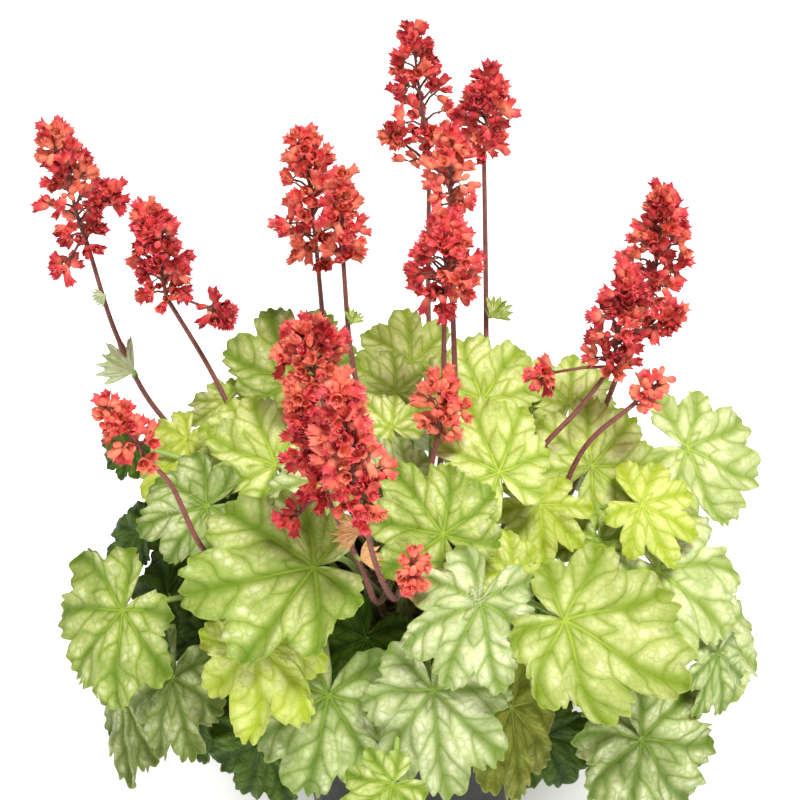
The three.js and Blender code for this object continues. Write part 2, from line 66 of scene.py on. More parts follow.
scene = bpy.context.scene
scene.view_settings.view_transform = "Standard"
camera = bpy.data.objects.new("camera", bpy.data.cameras.new("camera"))
camera.data.lens = LENS
camera.location = AIM + CAMERA_DISTANCE * Vector((0, -math.cos(CAMERA_RISE), math.sin(CAMERA_RISE)))
camera.rotation_euler = (math.radians(90) - CAMERA_RISE, 0, 0)
scene.collection.objects.link(camera)
scene.camera = camera

world = bpy.data.worlds.new("overcast")
world.use_nodes = True
world.node_tree.nodes["Background"].inputs["Color"].default_value = SKY["colour"]
world.node_tree.nodes["Background"].inputs["Strength"].default_value = SKY["strength"]
scene.world = world


def soft_light(name, place, size, watts, colour):
    """A square lamp that faces the plant."""
    light = bpy.data.lights.new(name, "AREA")
    light.size = size
    light.energy = watts
    light.color = colour
    lamp = bpy.data.objects.new(name, light)
    lamp.location = place
    lamp.rotation_euler = (AIM - Vector(place)).to_track_quat("-Z", "Y").to_euler()
    scene.collection.objects.link(lamp)


soft_light("key", **KEY)
soft_light("fill", **FILL)


class Shape:
    """A mesh in the making: points in millimetres, faces, and named values at each point."""

    def __init__(self):
        self.points = []
        self.faces = []
        self.finishes = []
        self.values = {}
        self.size = 0

    def add(self, points, faces, finish=0, **values):
        points = np.asarray(points, float)
        for batch in faces:
            self.faces.extend((np.asarray(batch) + self.size).tolist())
            self.finishes.extend([finish] * len(batch))
        self.points.append(points)
        for name, value in values.items():
            value = np.asarray(value, float)
            if value.ndim < 2 and value.shape != (len(points),):
                value = np.broadcast_to(value, (len(points), *value.shape))
            self.values.setdefault(name, []).append((self.size, value))
        self.size += len(points)

    def make(self, name, materials, slot, *replaced):
        """The finished object, with a material for each finish, riding on the plant's one body."""
        mesh = bpy.data.meshes.new(name)
        mesh.from_pydata(np.concatenate(self.points) / 1000, [], self.faces)
        mesh.polygons.foreach_set("use_smooth", [True] * len(self.faces))
        mesh.polygons.foreach_set("material_index", self.finishes)
        for label, batches in self.values.items():
            width = 1 if batches[0][1].ndim == 1 else batches[0][1].shape[1]
            kind, key = {1: ("FLOAT", "value"), 3: ("FLOAT_VECTOR", "vector")}[width]
            full = np.zeros((self.size, width))
            for first, value in batches:
                full[first : first + len(value)] = value.reshape(len(value), width)
            mesh.attributes.new(label, kind, "POINT").data.foreach_set(key, full.ravel())
        for material in materials:
            mesh.materials.append(material)
        made = bpy.data.objects.new(name, mesh)
        scene.collection.objects.link(made)
        if slot:
            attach(made, "root")
        if replaced:
            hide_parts(*replaced)
        return made


class Shader:
    """A Principled material and short calls that add its nodes and link them."""

    def __init__(self, name, **settings):
        self.material = bpy.data.materials.new(name)
        self.material.use_nodes = True
        self.tree = self.material.node_tree
        self.surface = self.tree.nodes["Principled BSDF"]
        sockets = {socket.name.lower(): socket for socket in self.surface.inputs}
        for name, value in settings.items():
            sockets[name.replace("_", " ")].default_value = value

    def node(self, kind, output, settings=(), **inputs):
        """One output of a new node, whose inputs go by name or, as in i0 and i6, by number."""
        made = self.tree.nodes.new(f"ShaderNode{kind}")
        for key, value in dict(settings).items():
            setattr(made, key, value)
        for key, value in inputs.items():
            socket = made.inputs[int(key[1:]) if key[1:].isdigit() else key.replace("_", " ")]
            if isinstance(value, bpy.types.NodeSocket):
                self.tree.links.new(value, socket)
            else:
                socket.default_value = value
        return made.outputs[output]

    def value(self, name, output="Fac"):
        return self.node("Attribute", output, {"attribute_name": name})

    def place(self):
        """Where a point of the piece is, in metres."""
        return self.node("TexCoord", "Object")

    def calc(self, operation, *terms, kind="Math", output=0):
        inputs = {f"i{k}": term for k, term in enumerate(terms)}
        return self.node(kind, output, {"operation": operation}, **inputs)

    def product(self, first, *terms):
        for term in terms:
            first = self.calc("MULTIPLY", first, term)
        return first

    def total(self, *shares, start=0.0):
        """The sum of some values, each given with its weight, on top of a start."""
        for value, weight in shares:
            start = self.calc("MULTIPLY_ADD", value, weight, start)
        return start

    def ramp(self, value, low, high, start=0.0, end=1.0):
        """Value carried smoothly from start at low to end at high."""
        terms = {"From_Min": low, "From_Max": high, "To_Min": start, "To_Max": end}
        return self.node("MapRange", 0, {"interpolation_type": "SMOOTHSTEP"}, Value=value, **terms)

    def noise(self, vector, scale, detail=2.0, roughness=0.5):
        terms = {"Scale": scale, "Detail": detail, "Roughness": roughness}
        return self.node("TexNoise", "Fac", Vector=vector, **terms)

    def coats(self, ground, *layers):
        """Colours laid over a ground one after another, each given after the share it covers."""
        for share, colour in layers:
            terms = {"i0": share, "i6": ground, "i7": colour}
            ground = self.node("Mix", 2, {"data_type": "RGBA"}, **terms)
        return ground

    def lift(self, height, distance, strength=1.0):
        """Relief of the given height, in metres for a height of 1."""
        bump = self.node("Bump", 0, Height=height, Distance=distance, Strength=strength)
        self.tree.links.new(bump, self.surface.inputs["Normal"])

    def paint(self, colour, roughness=None):
        self.tree.links.new(colour, self.surface.inputs["Base Color"])
        if roughness is not None:
            self.tree.links.new(roughness, self.surface.inputs["Roughness"])


def srgb(red, green, blue):
    """A colour given as it looks, 0 to 255, as the linear values that a shader takes."""
    shares = [c / 255 for c in (red, green, blue)]
    return [c / 12.92 if c <= 0.04045 else ((c + 0.055) / 1.055) ** 2.4 for c in shares]


def opaque(red, green, blue):
    """The same colour for a colour socket, which takes a cover too."""
    return (*srgb(red, green, blue), 1)


white = {"base_color": (0.93, 0.93, 0.93, 1), "emission_color": (1, 1, 1, 1)}
floor_paint = Shader("white_floor", roughness=0.9, **white)
# Painted shadow: the floor's own light fades out in an ellipse behind the pot.
squeezed = (floor_paint.place(), PAINTED_SHADOW["squeeze"], PAINTED_SHADOW["shift"])
squeezed = floor_paint.calc("MULTIPLY_ADD", *squeezed, kind="VectorMath")
from_painted_shadow = floor_paint.calc("LENGTH", squeezed, kind="VectorMath", output=1)
glow_with_painted_shadow = floor_paint.ramp(from_painted_shadow, PAINTED_SHADOW["inner"], PAINTED_SHADOW["outer"], *FLOOR["glow_with_painted_shadow"])
floor_paint.tree.links.new(glow_with_painted_shadow, floor_paint.surface.inputs["Emission Strength"])
floor = Shape()
edge = FLOOR["size"] / 2
corners = ((-edge, -edge), (edge, -edge), (edge, edge), (-edge, edge))
floor.add([(x, y, -FLOOR["drop"]) for x, y in corners], [[(0, 1, 2, 3)]])
floor.make("floor", [floor_paint.material], None)

# ---------------------------------------------------------------- nursery pot
# A thin injection-moulded nursery pot of black polypropylene, with a stiffening lip and four drain
# holes. It stands on its flat base, and everything else stands in it.
POT = {"rim": 75, "base": 54, "height": 130, "wall": 2, "lip": 3.5, "lip_drop": 14, "round": 1.4}
DRAIN = {"count": 4, "radius": 5, "ring": 34}
POT_SEGMENTS = 96


def rounded(corners, radius, steps=4):
    """A profile of (r, z) corners with each inner corner turned as a small arc."""
    path = [np.array(corners[0], float)]
    for before, corner, after in zip(corners, corners[1:], corners[2:]):
        before, corner, after = (np.array(p, float) for p in (before, corner, after))
        back, ahead = before - corner, after - corner
        reach = min(radius, np.linalg.norm(back) / 2.1, np.linalg.norm(ahead) / 2.1)
        start = corner + back / np.linalg.norm(back) * reach
        end = corner + ahead / np.linalg.norm(ahead) * reach
        for t in np.linspace(0, 1, steps + 1):
            path.append((1 - t) ** 2 * start + 2 * t * (1 - t) * corner + t**2 * end)
    path.append(np.array(corners[-1], float))
    return np.array(path)


def ring_faces(rings, sides):
    """Quads between rings that follow each other, each with the same number of points."""
    j = np.arange(sides)
    k = (j + 1) % sides
    first = np.arange(rings - 1)[:, None] * sides
    return np.stack([first + j, first + k, first + k + sides, first + j + sides], axis=2).reshape(-1, 4)


def turned(profile, segments):
    """Points and faces of a profile that starts and ends on the axis, turned about it."""
    angle = np.arange(segments) * 2 * math.pi / segments
    inner = profile[1:-1]
    rings = np.stack(
        [
            np.outer(inner[:, 0], np.cos(angle)),
            np.outer(inner[:, 0], np.sin(angle)),
            np.repeat(inner[:, 1:], segments, axis=1),
        ],
        axis=2,
    ).reshape(-1, 3)
    poles = [(0, 0, profile[0, 1]), (0, 0, profile[-1, 1])]
    j = np.arange(segments)
    k = (j + 1) % segments
    top = len(rings) - segments
    start_fan = np.stack([np.full(segments, len(rings)), k, j], axis=1)
    end_fan = np.stack([np.full(segments, len(rings) + 1), top + j, top + k], axis=1)
    return np.concatenate([rings, poles]), [ring_faces(len(inner), segments), start_fan, end_fan]


under_lip = POT["base"] + (POT["rim"] - POT["base"]) * (1 - POT["lip_drop"] / POT["height"])
lip_radius, lip_foot = POT["rim"] + POT["lip"], POT["height"] - POT["lip_drop"]
inner_rim = POT["rim"] - POT["wall"] + 0.4
pot_profile = rounded(
    [
        (0, 0),
        (POT["base"], 0),
        (under_lip, lip_foot),
        (lip_radius, lip_foot),
        (lip_radius, POT["height"]),
        (inner_rim, POT["height"]),
        (POT["base"] - POT["wall"], POT["wall"]),
        (0, POT["wall"]),
    ],
    POT["round"],
)
plastic = Shader("black_polypropylene", roughness=0.42)
dust = plastic.noise(plastic.place(), 34.0, 6.0, 0.7)
black, dust_grey = opaque(11, 11, 12), opaque(30, 28, 25)
dusted = plastic.coats(black, (plastic.ramp(dust, 0.5, 0.75), dust_grey))
plastic.paint(dusted, plastic.ramp(dust, 0.4, 0.8, 0.38, 0.75))
plastic.lift(plastic.noise(plastic.place(), 900.0, 3.0), 0.00012, 0.6)

pot = Shape()
pot.add(*turned(pot_profile, POT_SEGMENTS))
pot = pot.make("nursery_pot", [plastic.material], "pot", "pot")
drill = Shape()
for i in range(DRAIN["count"]):
    at = (i + 0.5) * 2 * math.pi / DRAIN["count"]
    rod = np.array([(0, -3), (DRAIN["radius"], -3), (DRAIN["radius"], 5), (0, 5)], float)
    points, faces = turned(rod, 24)
    drill.add(points + [DRAIN["ring"] * math.cos(at), DRAIN["ring"] * math.sin(at), 0], faces)
drill = drill.make("drill", [], None)
cut = pot.modifiers.new("drain_holes", "BOOLEAN")
cut.operation = "DIFFERENCE"
cut.object = drill
bored = bpy.data.meshes.new_from_object(pot.evaluated_get(bpy.context.evaluated_depsgraph_get()))
pot.modifiers.clear()
pot.data = bored
bpy.data.objects.remove(drill)

# ---------------------------------------------------------------- compost
# Dark peat-free compost: a damp, crumbly mass that fills the pot to a finger's width under its
# rim, with crumbs and white perlite grains on its top.
SOIL = {"top": 113, "mound": 3, "edge": 71, "ridge": 49}
CROWN = {"radius": 43, "top": 123, "waist": 36, "root": 30, "root_depth": 26}
CRUMBS = {"count": 620, "reach": 68, "sizes": (0.6, 1.9), "perlite_every": 9}
GAP = 0.3  # between pieces that lie against each other


def wall_at(z):
    """The radius of the compost where it lies against the pot's wall."""
    return POT["base"] + (POT["rim"] - POT["base"]) * z / POT["height"] - POT["wall"] - 2 * GAP


def soil_level(radius):
    """The height of the compost's top, which rises from its edge to the ridge round the crown."""
    return SOIL["top"] + SOIL["mound"] * min(1, (SOIL["edge"] - radius) / (SOIL["edge"] - SOIL["ridge"]))


def bumps(points, size, height, seed):
    """A smooth random height for each point, made of waves of about the given size."""
    draw = np.random.default_rng(seed)
    waves = draw.normal(size=(12, 3)) * 2 * math.pi / size
    phases = draw.uniform(0, 2 * math.pi, 12)
    return height * np.sin(points @ waves.T + phases).sum(1) / math.sqrt(6)


earth = Shader("compost", roughness=0.95)
grain = earth.noise(earth.place(), 260.0, 8.0, 0.75)
dark_earth, pale_earth = opaque(26, 18, 13), opaque(66, 48, 34)
earth.paint(earth.coats(dark_earth, (earth.ramp(grain, 0.35, 0.7), pale_earth)))
earth.lift(grain, 0.0012)
perlite = Shader("perlite", roughness=0.85, base_color=opaque(226, 222, 212))

seat = SOIL["top"] + SOIL["mound"]
floor_of_pot = POT["wall"] + GAP
socket = seat - CROWN["root_depth"] - GAP
top_line = [(r, soil_level(r)) for r in range(SOIL["edge"] - 1, SOIL["ridge"], -3)]
soil_profile = np.array(
    [(0, floor_of_pot), (wall_at(floor_of_pot), floor_of_pot), (wall_at(SOIL["top"]), SOIL["top"])]
    + top_line
    + [(46, seat), (42, seat), (CROWN["waist"] + GAP, seat), (CROWN["root"] + GAP, socket), (0, socket)]
)
points, faces = turned(soil_profile, POT_SEGMENTS)
open_top = (points[:, 2] > SOIL["top"] - 1) & (np.hypot(points[:, 0], points[:, 1]) < SOIL["edge"])
points[:, 2] += np.where(open_top, bumps(points, size=14, height=0.9, seed=3), 0)
soil = Shape()
soil.add(points, faces)


def pebble(draw, size):
    """A small irregular lump, as points and faces."""
    profile = np.array([(0, -1), (0.75, -0.7), (1, 0), (0.7, 0.75), (0, 1)], float)
    points, faces = turned(profile, 6)
    return points * size * draw.uniform(0.6, 1.2, 3) * (1 + draw.normal(0, 0.12, (len(points), 1))), faces


draw = np.random.default_rng(11)
for i in range(CRUMBS["count"]):
    radius = math.sqrt(draw.uniform(CROWN["waist"] ** 2, CRUMBS["reach"] ** 2))
    azimuth = draw.uniform(0, 2 * math.pi)
    size = draw.uniform(*CRUMBS["sizes"])
    points, faces = pebble(draw, size)
    middle = [radius * math.cos(azimuth), radius * math.sin(azimuth), soil_level(radius) + 0.2 * size]
    soil.add(points + middle, faces, int(i % CRUMBS["perlite_every"] == 0))
soil.make("compost", [earth.material, perlite.material], "soil", "soil")

# ---------------------------------------------------------------- crown
# The woody rootstock stands in the compost. Its top is knobbly with the scars of old leaves and
# the buds that every petiole and scape grows from.
bark = Shader("rootstock", roughness=0.9)
ridge = bark.noise(bark.place(), 170.0, 7.0, 0.65)
bark_dark, bark_pale = opaque(58, 40, 29), opaque(128, 92, 66)
bark.paint(bark.coats(bark_dark, (bark.ramp(ridge, 0.35, 0.68), bark_pale)))
bark.lift(ridge, 0.0015)

crown_profile = rounded(
    [
        (0, seat - CROWN["root_depth"]),
        (CROWN["root"] - GAP, seat - CROWN["root_depth"]),
        (CROWN["waist"] - GAP, seat),
        (CROWN["radius"], seat + 3),
        (CROWN["radius"] - 2, CROWN["top"]),
        (20, CROWN["top"] + 0.1),
        (0, CROWN["top"]),
    ],
    2,
)
points, faces = turned(crown_profile, 64)
above = np.clip((points[:, 2] - seat) / 3, 0, 1)
swell = 1 - above * np.abs(bumps(points, size=16, height=0.02, seed=5))
points[:, :2] *= swell[:, None]
crown = Shape()
crown.add(points, faces)
crown.make("rootstock", [bark.material], "crown", "crown")

# ---------------------------------------------------------------- leaves
# Each leaf is a round, palmately lobed blade with scalloped edges, quilted between sunken veins.
# A petiole carries it from a sheath on the crown to the notch in its base.
LOBE_ANGLES = [0, 22, 44, 66, 88, 112, 136, 160, 180]
LOBE_COUNTS = [0, 0.5, 1, 1.5, 2, 2.5, 3, 3.4, 3.5]
BLADE = {"half_thickness": 0.25, "blunt": 0.8, "uneven": 0.05, "notch": 20, "sinus": 0.14, "pleat": 0.05}
# How unlike each other a blade's lobes are, how far its margin waves, and how finely it is cut: for
# blades over each length, the samples across a lobe, the rings, and the teeth on a lobe.
LOBE = {"sway": 5, "sweep": 0.1, "longer": 0.045, "deeper": 0.12, "cleft": 0.13}
TEETH = {"depth": 0.09, "wander": 0.35, "point": 1.7}
WAVES = {"lobe": (0.018, 0.036), "tooth": 0.013, "roll": 0.75, "roll_size": 22}
GRADES = [(42, 24, 14, 5), (30, 20, 12, 5), (0, 16, 10, 3)]
VEIN = {"valley": 0.6, "width": 1.5, "spacing": 0.25, "puff": 0.75}
PETIOLE = {"foot": 1.8, "neck": 1.4, "bend_rise": 0.85, "over_rim": POT["height"] + 32, "steps": 16}
SHEATH = {"radius": 3.2, "height": 5, "girths": (3.2, 3.3, 2.9, 2.3, 1.9)}
LINT = {"lift": (1.0, 2.6), "bow": 0.1, "radius": 0.07}
# Forms that a blade can have where it differs from the usual one in leaf().
NARROW = {"breadth": 0.65, "arch": 0.1}
SLIM = {"breadth": 0.82}
FULL = {"breadth": 0.88}
LOW = {"lean": 0.7}
CUT = {"cut": 0.3}
ROUND = {"taper": 0.08}
TAPERED = {"taper": 0.3}
LANCE = {"breadth": 0.48, "arch": 0.1}

# For each tone: the pale ground between the veins, the deep green along them, and the veins' own
# light core, then how strongly the ground is silvered and given a painted sheen on its puffs.
TONES = {
    "lime": (srgb(213, 222, 134), srgb(122, 152, 12), srgb(190, 210, 78), 0.8),
    "pale": (srgb(214, 223, 158), srgb(124, 152, 44), srgb(184, 206, 90), 1.0),
    "young": (srgb(214, 222, 122), srgb(154, 176, 26), srgb(200, 214, 92), 0.5),
    "fresh": (srgb(182, 196, 104), srgb(94, 128, 14), srgb(160, 186, 58), 0.9),
    "mid": (srgb(178, 193, 120), srgb(82, 114, 20), srgb(144, 172, 62), 1.1),
    "silver": (srgb(206, 216, 156), srgb(104, 134, 40), srgb(158, 186, 76), 1.2),
    "dull": (srgb(146, 160, 88), srgb(76, 98, 26), srgb(126, 146, 58), 0.8),
    # Darkest tone: a deep green, darkened further as painted shade for leaves low and deep in the mound.
    "dark": (srgb(76, 104, 22), srgb(28, 54, 6), srgb(80, 112, 28), 0.06),
    "old": (srgb(142, 146, 48), srgb(86, 100, 16), srgb(160, 164, 66), 0.15),
    "dry": (srgb(240, 194, 140), srgb(214, 156, 96), srgb(236, 200, 150), 0.1),
    "bract": (srgb(222, 230, 192), srgb(178, 198, 134), srgb(206, 220, 150), 0.6),
}


def leaf(tone, at, face, turn, length, form=()):
    """A leaf's row, with the usual form where none is given."""
    row = {"tone": tone, "at": at, "face": face, "turn": turn, "length": length, "phase": at[0]}
    row.update(breadth=0.95, arch=0.12, cut=0.2, taper=0.2, ruffle=0.05, lean=0.4)
    row.update(fan=1, shade=1, lint=())
    return {**row, **dict(form)}


# The leaves of each shoot: tone, where the petiole meets the blade, the azimuth and rise of its
# upper face, the turn of its midrib, its length from petiole to tip, and its form. A tuft of lint
# has its middle on the blade, its number of fibres and its spread.
SHOOTS = [
    [
        leaf("silver", (30, -122, 208), (-85, 40), -25, 48,
             {**SLIM, "lint": [((-2, -2), 22, 6), ((-13, 8), 8, 4)]}),
        leaf("silver", (8, -130, 163), (-95, 20), 10, 56, SLIM),
        leaf("mid", (-42, -112, 147), (-105, 20), -10, 56),
        leaf("fresh", (-11, -156, 127), (-100, 30), -55, 28),
        leaf("dark", (-76, -98, 108), (-110, 10), -15, 38),
        leaf("dark", (-24, -92, 166), (-100, 30), -20, 36),
    ],
    [
        leaf("fresh", (-48, -112, 221), (-110, 45), -70, 66, TAPERED),
        leaf("young", (-75, -114, 180), (-110, 30), 0, 47, CUT),
    ],
    [
        leaf("dull", (-120, -82, 136), (-130, 20), -5, 49, SLIM),
        leaf("dark", (-106, -76, 114), (-120, 10), -5, 34),
        leaf("dark", (-104, -63, 148), (-125, 30), -10, 26),
    ],
    [
        leaf("fresh", (-145, -66, 165), (-130, 30), -25, 53),
        leaf("dull", (-149, -50, 104), (-140, 10), 10, 54, NARROW),
    ],
    [
        leaf("dark", (-142, 10, 163), (-150, 35), -30, 29),
        leaf("fresh", (-133, 43, 152), (162, 35), 0, 44),
        leaf("dark", (-115, -14, 162), (-125, 45), 20, 34),
        leaf("dark", (-125, -35, 153), (-125, 35), 0, 34),
    ],
    [
        leaf("young", (-118, 30, 206), (-120, 50), -10, 40, TAPERED),
        leaf("lime", (-99, 63, 210), (-120, 60), -40, 24, LOW),
        leaf("dark", (-147, 24, 206), (-135, 30), -40, 22),
    ],
    [
        leaf("lime", (-86, 8, 225), (-110, 60), 0, 35),
        leaf("lime", (-69, -28, 226), (-105, 55), -150, 44),
        leaf("mid", (-103, -42, 211), (-115, 50), -60, 40, {**LOW, "lint": [((14, -2), 18, 7)]}),
        leaf("dark", (-84, -4, 197), (-110, 45), -60, 26, LOW),
    ],
    [
        leaf("fresh", (-62, 55, 226), (-105, 50), -150, 49),
        leaf("lime", (-82, 86, 192), (135, 55), 0, 36),
    ],
    [
        leaf("fresh", (-59, 127, 152), (115, 35), 0, 46),
        leaf("silver", (-92, 77, 160), (140, 35), 0, 44),
    ],
    [
        leaf("lime", (-2, 72, 228), (-100, 60), -125, 37, {"shade": 0.9}),
        leaf("lime", (-30, 95, 205), (100, 60), 0, 38),
    ],
    [
        leaf("lime", (-10, 34, 232), (-95, 65), -130, 31),
        leaf("lime", (-12, -20, 243), (-95, 65), -140, 26),
    ],
    [
        leaf("pale", (-44, -50, 232), (-100, 55), -75, 31),
        leaf("pale", (-3, -48, 232), (-95, 55), -135, 28, NARROW),
    ],
    [
        leaf("fresh", (13, -96, 229), (-95, 45), -140, 44),
        leaf("lime", (40, -64, 244), (-85, 52), -165, 44, FULL),
    ],
    [
        leaf("young", (46, -94, 205), (-90, 45), -135, 26),
        leaf("young", (61, -54, 219), (-85, 50), 0, 33, CUT),
        leaf("lime", (70, -124, 199), (-70, 40), 55, 66, {**TAPERED, "shade": 0.85}),
    ],
    [
        leaf("old", (47, -104, 134), (-85, 5), 5, 60, LANCE),
        leaf("dark", (64, -92, 108), (-80, 5), 20, 36),
        leaf("dark", (61, -77, 169), (-80, 40), 0, 34),
    ],
    [
        leaf("mid", (112, -98, 110), (-60, 15), 32, 60, SLIM),
        leaf("mid", (102, -88, 143), (-65, 20), -10, 30),
    ],
    [leaf("pale", (119, -62, 187), (-55, 45), 30, 55)],
    [
        leaf("lime", (88, -24, 223), (-75, 50), 130, 41, ROUND),
        leaf("young", (111, -50, 217), (-65, 50), 50, 36, {"lean": 0.5, "cut": 0.3}),
        leaf("fresh", (90, -56, 200), (-75, 50), 0, 30),
    ],
    [
        leaf("pale", (140, 20, 207), (-55, 40), 55, 49),
        leaf("fresh", (130, 52, 152), (22, 35), 0, 46),
        leaf("pale", (153, -38, 136), (-30, 30), 35, 46),
        leaf("mid", (151, -66, 139), (-35, 15), 0, 36),
    ],
    [
        leaf("lime", (34, 16, 238), (-85, 65), -175, 45),
        leaf("lime", (54, 40, 229), (-80, 60), 170, 28),
        leaf("lime", (79, 22, 232), (-80, 60), 165, 32),
    ],
    [
        leaf("lime", (40, 92, 205), (75, 60), 0, 40),
        leaf("fresh", (83, 86, 160), (46, 35), 0, 44),
    ],
    [
        leaf("fresh", (52, 130, 152), (68, 35), 0, 46),
        leaf("silver", (-4, 120, 160), (92, 35), 0, 44),
    ],
]


def unit(vector):
    return vector / np.linalg.norm(vector)


def smooth(value, low, high):
    """0 up to low and 1 from high on, with a smooth rise between them."""
    share = np.clip((value - low) / (high - low), 0, 1)
    return share * share * (3 - 2 * share)


def blade_frame(row):
    """Unit vectors out of the blade's upper face, down its slope, across that, and its own axes."""
    a, r, t = (math.radians(v) for v in (*row["face"], row["turn"]))
    face = np.array([math.cos(r) * math.cos(a), math.cos(r) * math.sin(a), math.sin(r)])
    down = np.array([math.sin(r) * math.cos(a), math.sin(r) * math.sin(a), -math.cos(r)])
    side = np.cross(face, down)
    along = math.cos(t) * down + math.sin(t) * side
    return face, along, np.cross(face, along)


def tube(points, radii, sides):
    """Points and faces of a round tube along a path, closed at both ends."""
    points = np.asarray(points, float)
    radii = np.broadcast_to(np.asarray(radii, float), len(points))
    tangents = np.gradient(points, axis=0)
    normal = np.cross(tangents[0], [0.31, -0.22, 0.9])
    rings = []
    for centre, tangent, radius in zip(points, tangents, radii):
        tangent = unit(tangent)
        normal = unit(normal - tangent * (normal @ tangent))
        other = np.cross(tangent, normal)
        angle = np.arange(sides)[:, None] * 2 * math.pi / sides
        rings.append(centre + radius * (np.cos(angle) * normal + np.sin(angle) * other))
    cap = np.arange(sides)[None, :]
    last = (len(points) - 1) * sides
    return np.concatenate(rings), [ring_faces(len(points), sides), cap[:, ::-1], last + cap]


def blade_outline(row, teeth, reach, count, bearing, draw):
    """Radius and angle of a blade's points: the CAD outline with lobes, cuts and teeth of its own."""
    sector = np.radians(bearing)
    clear = 180 - np.abs(bearing)
    bend = draw.normal(0, LOBE["sway"]) * np.sin(math.pi * reach)
    bend = bend + LOBE["sweep"] * bearing * (0.6 - reach)
    angle = np.radians(bearing + bend * smooth(clear, 0, 60))
    nearest = np.clip(np.round(count), -3, 3)
    beside = 2 * (count - nearest)
    longer = draw.normal(0, LOBE["longer"], 7)[nearest.astype(int) + 3] * (1 - np.minimum(beside**2, 1))
    between = np.floor(count).astype(int)
    cleft = np.exp(-(((count - between - 0.5) / LOBE["cleft"]) ** 2))
    deeper = draw.uniform(0, LOBE["deeper"], 8)[between + 4] * cleft
    blunt = 1 - np.abs(np.cos(math.pi * count)) ** BLADE["blunt"]
    lobes = 1 - row["cut"] * (blunt if row["fan"] == 1 else np.abs(np.sin(math.pi * count)))
    uneven = 1 + BLADE["uneven"] * np.sin(2 * sector + row["phase"])
    notch = BLADE["sinus"] + (1 - BLADE["sinus"]) * smooth(clear, 0, BLADE["notch"])
    if row["fan"] < 1:
        notch = smooth(3.5 - np.abs(count), 0, 0.35)
    step = teeth * count + TEETH["wander"] * np.sin(5.3 * count + draw.uniform(0, 6))
    dip = np.abs(2 * (step - np.round(step))) ** TEETH["point"]
    size = TEETH["depth"] * (0.75 + 0.35 * np.sin(7.7 * count + draw.uniform(0, 6)))
    margin = 1 - size * dip * reach**3 * smooth(clear, 2, 16)
    envelope = 1 - row["taper"] + row["taper"] * np.cos(sector)
    return reach * envelope * lobes * (1 + longer - deeper) * uneven * notch * margin, angle


def blade_veins(flat, length, count, sector, radius, seed):
    """How far each point lies from the nearest main vein, and its place between side veins.

    The side veins leave the main vein on both sides by turns and slant towards the margin.
    """
    nearest = np.clip(np.round(count), -3, 3)
    off = sector - np.sign(nearest) * np.radians(np.interp(np.abs(nearest), LOBE_COUNTS, LOBE_ANGLES))
    aside, ahead = np.abs(radius * np.sin(off)) * length, radius * np.cos(off) * length
    turn_about = 0.24 * np.clip(3 * np.sin(math.pi * count), -1, 1)
    warp = bumps(flat, 34, 0.12, seed + 70).reshape(count.shape)
    return aside, (ahead - aside) / (VEIN["spacing"] * length) + turn_about + warp


def blade_relief(row, fine, flat, reach, count, sector, radius, aside, branch, seed, draw):
    """The height of each point: arched, pleated, waved at the margin and puffed between veins."""
    length = row["length"]
    height = -row["arch"] * radius**2 - BLADE["pleat"] * radius**1.5 * np.cos(2 * math.pi * count)
    height += row["ruffle"] * radius**2 * np.sin(3 * sector + row["phase"])
    height += draw.uniform(*WAVES["lobe"]) * reach**4 * np.sin(4 * math.pi * count + draw.uniform(0, 6))
    height += WAVES["tooth"] * reach**6 * np.sin(12 * math.pi * count + draw.uniform(0, 6))
    sides = 1 - np.exp(-((aside / 3) ** 2))
    puff = VEIN["puff"] * (length / 50) * sides * smooth(reach, 0.06, 0.3) * np.cos(2 * math.pi * branch)
    roll = bumps(flat, WAVES["roll_size"] * fine, WAVES["roll"] * fine, seed + 40).reshape(count.shape)
    roll *= smooth(reach, 0.1, 0.6)
    valley = VEIN["valley"] * fine * np.exp(-((aside / VEIN["width"]) ** 2)) * (1 - 0.6 * reach)
    return height * length + 0.5 * puff + roll - valley


def add_blade(shape, row, seed):
    """A blade: rings of points round the petiole, by lobe count from -3.5 to 3.5 and by reach."""
    draw = np.random.default_rng(seed)
    length = row["length"]
    fine = min(1, length / 30)
    samples, tiers, teeth = next(grade[1:] for grade in GRADES if length > grade[0])
    line = np.linspace(-3.5, 3.5, 7 * samples, endpoint=False)
    rings = np.linspace(0, 1, tiers + 1)[1:] ** 0.85
    reach, count = np.meshgrid(rings, line, indexing="ij")
    bearing = np.sign(count) * np.interp(np.abs(count), LOBE_COUNTS, LOBE_ANGLES) * row["fan"]
    sector = np.radians(bearing)
    radius, angle = blade_outline(row, teeth, reach, count, bearing, draw)
    x, y = radius * np.cos(angle) * length, radius * np.sin(angle) * length * row["breadth"]
    flat = np.stack([x, y, np.zeros_like(x)], axis=2).reshape(-1, 3)
    aside, branch = blade_veins(flat, length, count, sector, radius, seed)
    height = blade_relief(row, fine, flat, reach, count, sector, radius, aside, branch, seed, draw)

    face, along, across = blade_frame(row)
    base = np.array(row["at"], float)
    middle = base + x[..., None] * along + y[..., None] * across + height[..., None] * face
    middle = np.concatenate([(base - VEIN["valley"] * fine * face)[None], middle.reshape(-1, 3)])
    lower = len(middle)
    thick = BLADE["half_thickness"] * face

    def both(value):
        """The values at the blade's points, for its upper and its lower face."""
        value = value.reshape(-1, value.shape[-1])
        value = np.concatenate([np.zeros_like(value[:1]), value])
        return np.concatenate([value, value])

    flat = both(flat)
    flat[:, 2] = draw.uniform(0, 900)
    ground, green, core, silver = TONES[row["tone"]]
    shade = draw.uniform(0.93, 1.06) * row["shade"]
    shape.add(
        np.concatenate([middle + thick, middle - thick]),
        blade_faces(tiers, len(line)),
        0,
        vein=both(np.stack([aside * (48 / length) ** 0.8, branch, reach], axis=2)),
        flat=flat,
        ground=np.array(ground) * shade,
        green=np.array(green) * shade,
        core=np.array(core) * shade,
        silver=silver,
        under=np.repeat([0.0, 1.0], lower),
    )


